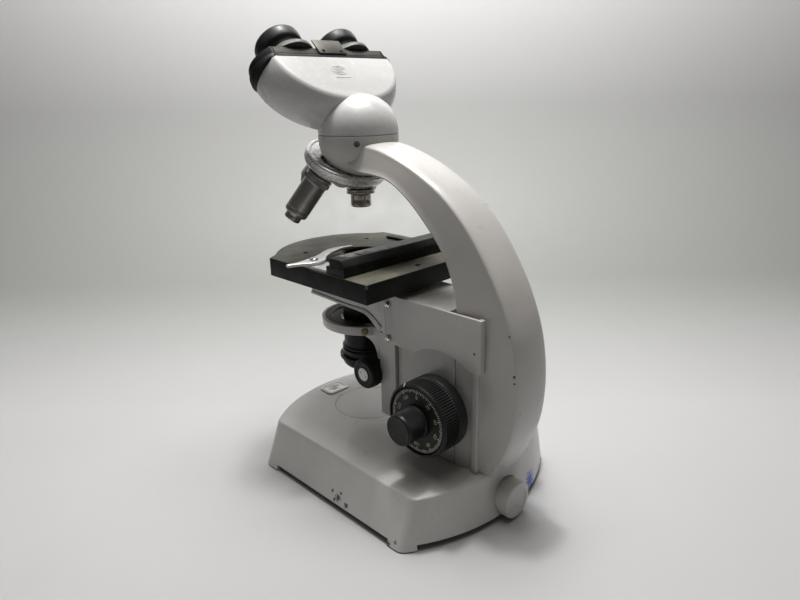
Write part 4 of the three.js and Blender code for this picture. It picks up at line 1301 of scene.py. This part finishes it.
def build_objectives():
    for node, (quarter, profile, knurled) in OBJECTIVES.items():
        start = SEAT + 0.3
        profile = soften([(p[0], -start - p[1], *p[2:]) for p in profile], 0.3, 3)
        ribs = knurl(64, 0.4, -start - knurled[1], -start - knurled[0], 11.4, 0.3)
        bm = turned(divided(profile, 11.5, 1, 5), 256, ribs)
        turn = spin(-quarter * math.pi / 2, "Z") @ spin(TURRET_TILT, "X")
        look = "scan" if node == "objective_scan" else "satin_chrome"
        piece(f"{node}_barrel", moved(bm, turn), node, look, TURRET)
        reach = max(-p.y for p in profile)
        lens_r = 2.4 if node != "objective_scan" else 3.4
        lens = turned(soften([
            (0, -reach + 1.05), (lens_r, -reach + 1.0, 0.1), (0, -reach + 0.6),
        ], 0.1), 32)
        detail(f"{node}_front_lens", moved(lens, turn), node, "glass", TURRET)


# ---------------------------------------------------------------- binocular head
def head_ring(y, inset=0.0, count=96):
    grow = 8 * (1 - (y / HEAD_HALF) ** 2)
    a, b = 60.5 + grow - inset, 45.5 + grow - inset
    ring = []
    for i in range(count + 1):
        turn = math.pi + math.pi * i / count
        c, s = math.cos(turn), math.sin(turn)
        ring.append(Vector((a * math.copysign(abs(c) ** 0.94, c), y, HEAD_EDGE + b * s)))
    return ring


def bowed(low, high, half, steps=16):
    """Outline of a plate across the head; its outer end bows like the shell's."""
    out = []
    for i in range(steps + 1):
        y = half * (2 * i / steps - 1)
        out.append((high + (10.5 if low > 0 else 7.6) * (1 - (y / half) ** 2), y))
    if low > 0:
        return out + [(low, half), (low, -half)]
    return out + [(-x, -y) for x, y in out]


def build_head_shell():
    soft = 2.4
    levels = []
    for k in range(7):
        turn = math.pi / 2 * k / 6
        levels.append((HEAD_HALF - soft * (1 - math.sin(turn)), soft * (1 - math.cos(turn))))
    flat = HEAD_HALF - soft
    inner = [(flat * k / 10, 0) for k in range(9, -10, -1)]
    top = [(y, inset) for y, inset in reversed(levels)]
    rows = top + inner + [(-y, inset) for y, inset in levels]
    shell = skin([head_ring(y, inset) for y, inset in rows])
    dome = [(0, SEAM_Z + 0.3), (DOME_R - 0.6, SEAM_Z + 0.3), (DOME_R - 0.15, SEAM_Z + 0.55)]
    for i in range(41):
        turn = math.pi / 2 * (0.012 + 0.988 * i / 40)
        across = DOME_R * math.cos(turn) ** 0.9 if i < 40 else 0
        dome.append((across, SEAM_Z + 0.3 + 31.6 * math.sin(turn) ** 0.9))
    to_head = HEAD_PIVOT.inverted()
    dome = moved(turned(dome, 160), to_head)
    under = moved(block((-100, 100), (-100, 100), (SEAM_Z - 60, SEAM_Z + 0.3)), to_head)
    path = moved(rod(8, SEAM_Z - 5, SEAM_Z + 22, 48), to_head)
    body = cut(join(shell, dome), under, path)
    piece("head_shell", body, "head_casting", "head", HEAD, crease=30)
    mark = merged(emblem((0, 0), 8, (0, 0.28)), block((-7.4, 7.4), (-8.3, -7.8), (0, 0.28)))
    place = shift(6, HEAD_HALF - 0.02, 39) @ spin(-math.pi / 2, "X") @ spin(math.pi, "Z")
    detail("head_emblem", moved(mark, place), "head_casting", "head", HEAD)


def build_head_band():
    band = rounded(slab(bowed(-60, 60, FACE_HALF + 0.4), (HEAD_EDGE + 0.3, BAND_TOP)), 0.4, 2, 50)
    ends = []
    for side in (-1, 1):
        rows = []
        for i in range(25):
            y = (FACE_HALF + 0.4) * (i / 12 - 1)
            bow = 1 - (y / (FACE_HALF + 0.4)) ** 2
            outer = 60.2 + 12.5 * bow ** 0.8
            foot = HEAD_EDGE + 0.3 - 4 * bow
            section = [
                (55, foot + 1), (outer - 1.2 - 1.5 * bow, foot), (outer - 0.3, foot + 0.8),
                (outer, 54 + bow), (outer - 0.5, BAND_TOP), (55, BAND_TOP),
            ]
            rows.append([Vector((side * x, y, q)) for x, q in section])
        ends.append(skin(rows))
    piece("head_rim", merged(band, *ends), "head_band", "rim", HEAD)


def build_bridge():
    bars = [
        rounded(block((-5, 5), (-FACE_HALF - 1, FACE_HALF + 1), (PLATE_LOW, 64)), 0.4, 2),
        rounded(block((-14.4, 14.4), (FACE_HALF + 0.3, FACE_HALF + 1.8), (PLATE_LOW, 72.5)), 0.35, 2),
        rounded(block((-14.4, 14.4), (-FACE_HALF - 1.8, -FACE_HALF - 0.3), (PLATE_LOW, 72.5)), 0.35, 2),
    ]
    piece("bridge_cover", merged(*bars), "centre_bridge", "plate", HEAD)
    for x in (-9.5, 9.5):
        head = soften([(0, 0), (1.7, 0, 0.1), (1.6, 0.5, 0.3), (0, 0.75)], 0.2)
        screw = cut(turned(head, 32), block((-2, 2), (-0.25, 0.25), (0.35, 2)))
        place = shift(x, FACE_HALF + 1.78, 60.4) @ spin(-math.pi / 2, "X")
        name = "bridge_screw_left" if x < 0 else "bridge_screw_right"
        detail(name, moved(screw, place), "centre_bridge", "screw_dark", HEAD)


def build_tube_plates():
    for side, name in ((1, "right"), (-1, "left")):
        x = side * EYE_X
        outline = [(side * px, py) for px, py in bowed(9, 59, FACE_HALF)]
        plate = rounded(slab(outline, (PLATE_LOW, PLATE_HIGH)), 0.6, 3, 40)
        bore = moved(rod(13, 50, 70, 64), shift(x, 0, 0))
        seam = block(sorted((side * 8, side * 60)), (FACE_HALF - 0.5, FACE_HALF + 1), (63.0, 63.4))
        plate = cut(plate, bore, seam)
        end_x = side * 56
        bmesh.ops.bisect_plane(
            plate, geom=plate.verts[:] + plate.edges[:] + plate.faces[:],
            plane_co=(end_x, 0, 0), plane_no=(1, 0, 0)
        )
        for part in plate.faces:
            part.material_index = int(abs(part.calc_center_median().x) > abs(end_x))
        piece(f"tube_plate_{name}", plate, f"tube_slide_{name}", "plate rim", HEAD)


def build_eyepieces():
    for side, name in ((1, "right"), (-1, "left")):
        x = side * EYE_X
        collar = [
            (12.4, 65.1), (23.0, 65.1, 0.3), (23.5, 65.6, 0.3), (23.5, 69.0, 0.5), (22.6, 69.6, 0.6),
            (20.4, 71.6, 1.2), (18.8, 72.4, 0.8), (12.4, 72.5),
        ]
        bm = turned(soften(collar, 0.4), 480, knurl(120, 0.22, 65.6, 69.2, 23.3, 0.4))
        bm.transform(shift(x, 0, 0))
        piece(f"setting_collar_{name}", bm, f"diopter_collar_{name}", "collar", HEAD)

        cup = [
            (7.5, 58.5), (11.6, 58.5), (11.6, 72.8, 0.1), (16.5, 72.8, 0.6), (16.7, 75.5, 0.6),
            (17.4, 77.6, 1.0), (19.8, 79.6, 1.6), (20.3, 83, 2.0), (20.2, 88.4, 2.4), (18.4, 91.2, 2.2),
            (14.8, 91.2, 1.4), (12.8, 88, 1.4), (11.6, 85.2, 0.6), (8.2, 84.3, 0.3), (7.5, 84),
        ]
        cup = moved(turned(soften(cup, 0.5, 5), 128), shift(x, 0, 0))
        piece(f"ocular_{name}", cup, f"eyepiece_{name}", "cup", HEAD)
        lens = soften([
            (0, 80.5), (7.2, 80.5), (7.2, 82.4, 0.3), (5, 83.4, 1.5), (2.5, 83.9, 1.5), (0, 84),
        ], 0.3)
        lens = moved(turned(lens, 64), shift(x, 0, 0))
        piece(f"ocular_lens_{name}", lens, f"eye_lens_{name}", "glass", HEAD)


# ---------------------------------------------------------------- studio
# metres, as the room is; the paper rises away from the camera
PAPER_FRONT, PAPER_FLAT, PAPER_BEND, PAPER_TOP, PAPER_REACH = -0.75, 0.42, 0.3, 1.7, 1.3
LAMP_HEIGHT = 1.2
CAMERA_PLACE = (354.9, 402.4, 321.7)
CAMERA_YAW, CAMERA_PITCH, CAMERA_ROLL = 225.2, 18.38, -1.18
CAMERA_LENS = 28.08
AWAY = Vector((-1, -1, 0)).normalized()
LAMP_COLOUR = (1.0, 0.99, 0.975)


def build_paper():
    """A floor that bends up into a wall behind the object; its colour holds painted shade far out on the
    floor and painted light up the wall.
    """
    along = Vector((1, -1, 0)).normalized()
    profile = [(PAPER_FRONT, 0), (0, 0), (PAPER_FLAT, 0)]
    for i in range(1, 17):
        turn = math.pi / 2 * i / 16
        profile.append((PAPER_FLAT + PAPER_BEND * math.sin(turn), PAPER_BEND * (1 - math.cos(turn))))
    profile.append((PAPER_FLAT + PAPER_BEND, PAPER_TOP))
    bm = bmesh.new()
    rows = []
    for out, level in profile:
        rows.append([
            bm.verts.new(AWAY * out + along * side + Vector((0, 0, level - 0.0001)))
            for side in (-PAPER_REACH, PAPER_REACH)
        ])
    for a, b in zip(rows, rows[1:]):
        bm.faces.new((a[0], a[1], b[1], b[0]))
    bmesh.ops.recalc_face_normals(bm, faces=bm.faces)
    bm.faces.ensure_lookup_table()
    if bm.faces[0].normal.z < 0:
        bmesh.ops.reverse_faces(bm, faces=bm.faces)
    for face in bm.faces:
        face.smooth = True
    floor = to_object(bm, "floor")
    look = Look("floor_paper_and_painted_light")
    tone = look.mix(look.cloud((3, 3), 0.3, 0.7), (0.475, 0.475, 0.48), (0.50, 0.50, 0.505))
    # painted shade: the paper darkens from 0.1 m to PAPER_FLAT + 0.1 m out from the object, towards the
    # bend, standing in for the light falling off there
    depth = look.new("ShaderNodeVectorMath", operation="DOT_PRODUCT")
    look.link(look.place, depth.inputs[0])
    depth.inputs[1].default_value = AWAY
    tone = look.mix(look.band(depth.outputs["Value"], 0.1, PAPER_FLAT + 0.1), tone, (0.335, 0.34, 0.325))
    # painted light: the paper grows lighter from 0.02 m to 0.7 m up the wall, standing in for the
    # brighter light on the wall's upper part
    height = look.new("ShaderNodeSeparateXYZ")
    look.link(look.place, height.inputs["Vector"])
    tone = look.mix(look.band(height.outputs["Z"], 0.02, 0.7), tone, (0.84, 0.84, 0.85))
    floor.data.materials.append(look.finish(tone, look.cloud((30, 3), 0.3, 0.7, 0.5, 0.62)))


def lamp(name, place, size, power, aim=None):
    data = bpy.data.lights.new(name, "AREA")
    data.shape = "SQUARE"
    data.size = size
    data.energy = power
    data.color = LAMP_COLOUR
    obj = bpy.data.objects.new(name, data)
    obj.location = place
    if aim:
        obj.rotation_euler = (Vector(aim) - Vector(place)).to_track_quat("-Z", "Y").to_euler()
    bpy.context.scene.collection.objects.link(obj)


def build_lights():
    centre = (-0.06, AXIS_Y - 0.06)
    lamp("key", (*centre, LAMP_HEIGHT), 0.09, 5.8)
    lamp("ceiling", (0.0, 0.0, 1.4), 1.1, 7.4)
    lamp("backdrop_wash", (*(AWAY * 0.25).xy, 1.2), 0.5, 6.5, aim=(*(AWAY * 0.75).xy, 0.6))
    for i, (dx, dy) in enumerate(((-1, -1), (1, -1), (-1, 1), (1, 1))):
        lamp(f"cell_{i}", (centre[0] + 0.13 * dx, centre[1] + 0.13 * dy, LAMP_HEIGHT), 0.14, 0.8)


def build_world():
    world = bpy.data.worlds.new("studio")
    bpy.context.scene.world = world
    world.use_nodes = True
    world.node_tree.nodes["Background"].inputs["Color"].default_value = (1.0, 0.93, 0.88, 1)
    world.node_tree.nodes["Background"].inputs["Strength"].default_value = 0.07

    view = bpy.context.scene.view_settings
    view.view_transform = "Standard"
    view.look = "None"
    view.exposure = 0.0


def build_camera():
    camera = bpy.data.cameras.new("camera")
    camera.sensor_width = 36
    camera.lens = CAMERA_LENS
    camera.clip_start = 0.01
    obj = bpy.data.objects.new("camera", camera)
    bpy.context.scene.collection.objects.link(obj)
    yaw, pitch, roll = (math.radians(a) for a in (CAMERA_YAW, CAMERA_PITCH, CAMERA_ROLL))
    ahead = Vector((math.cos(pitch) * math.cos(yaw), math.cos(pitch) * math.sin(yaw), -math.sin(pitch)))
    right = ahead.cross(Vector((0, 0, 1))).normalized()
    up = right.cross(ahead)
    right, up = math.cos(roll) * right + math.sin(roll) * up, math.cos(roll) * up - math.sin(roll) * right
    turn = Matrix((right, up, -ahead)).transposed().to_4x4()
    obj.matrix_world = Matrix.Translation(STAND @ Vector(CAMERA_PLACE)) @ turn
    bpy.context.scene.camera = obj


build_base()
build_bottom()
build_port_and_lamp()
build_badge()
build_arm()
build_housing()
build_knobs()
build_shafts()
build_carrier()
build_bracket()
build_stage()
build_rest_bar()
build_lever()
build_condenser_ring()
build_condenser_body()
build_condenser_knob()
build_turret()
build_objectives()
build_head_shell()
build_head_band()
build_bridge()
build_tube_plates()
build_eyepieces()
build_paper()
build_lights()
build_world()
build_camera()
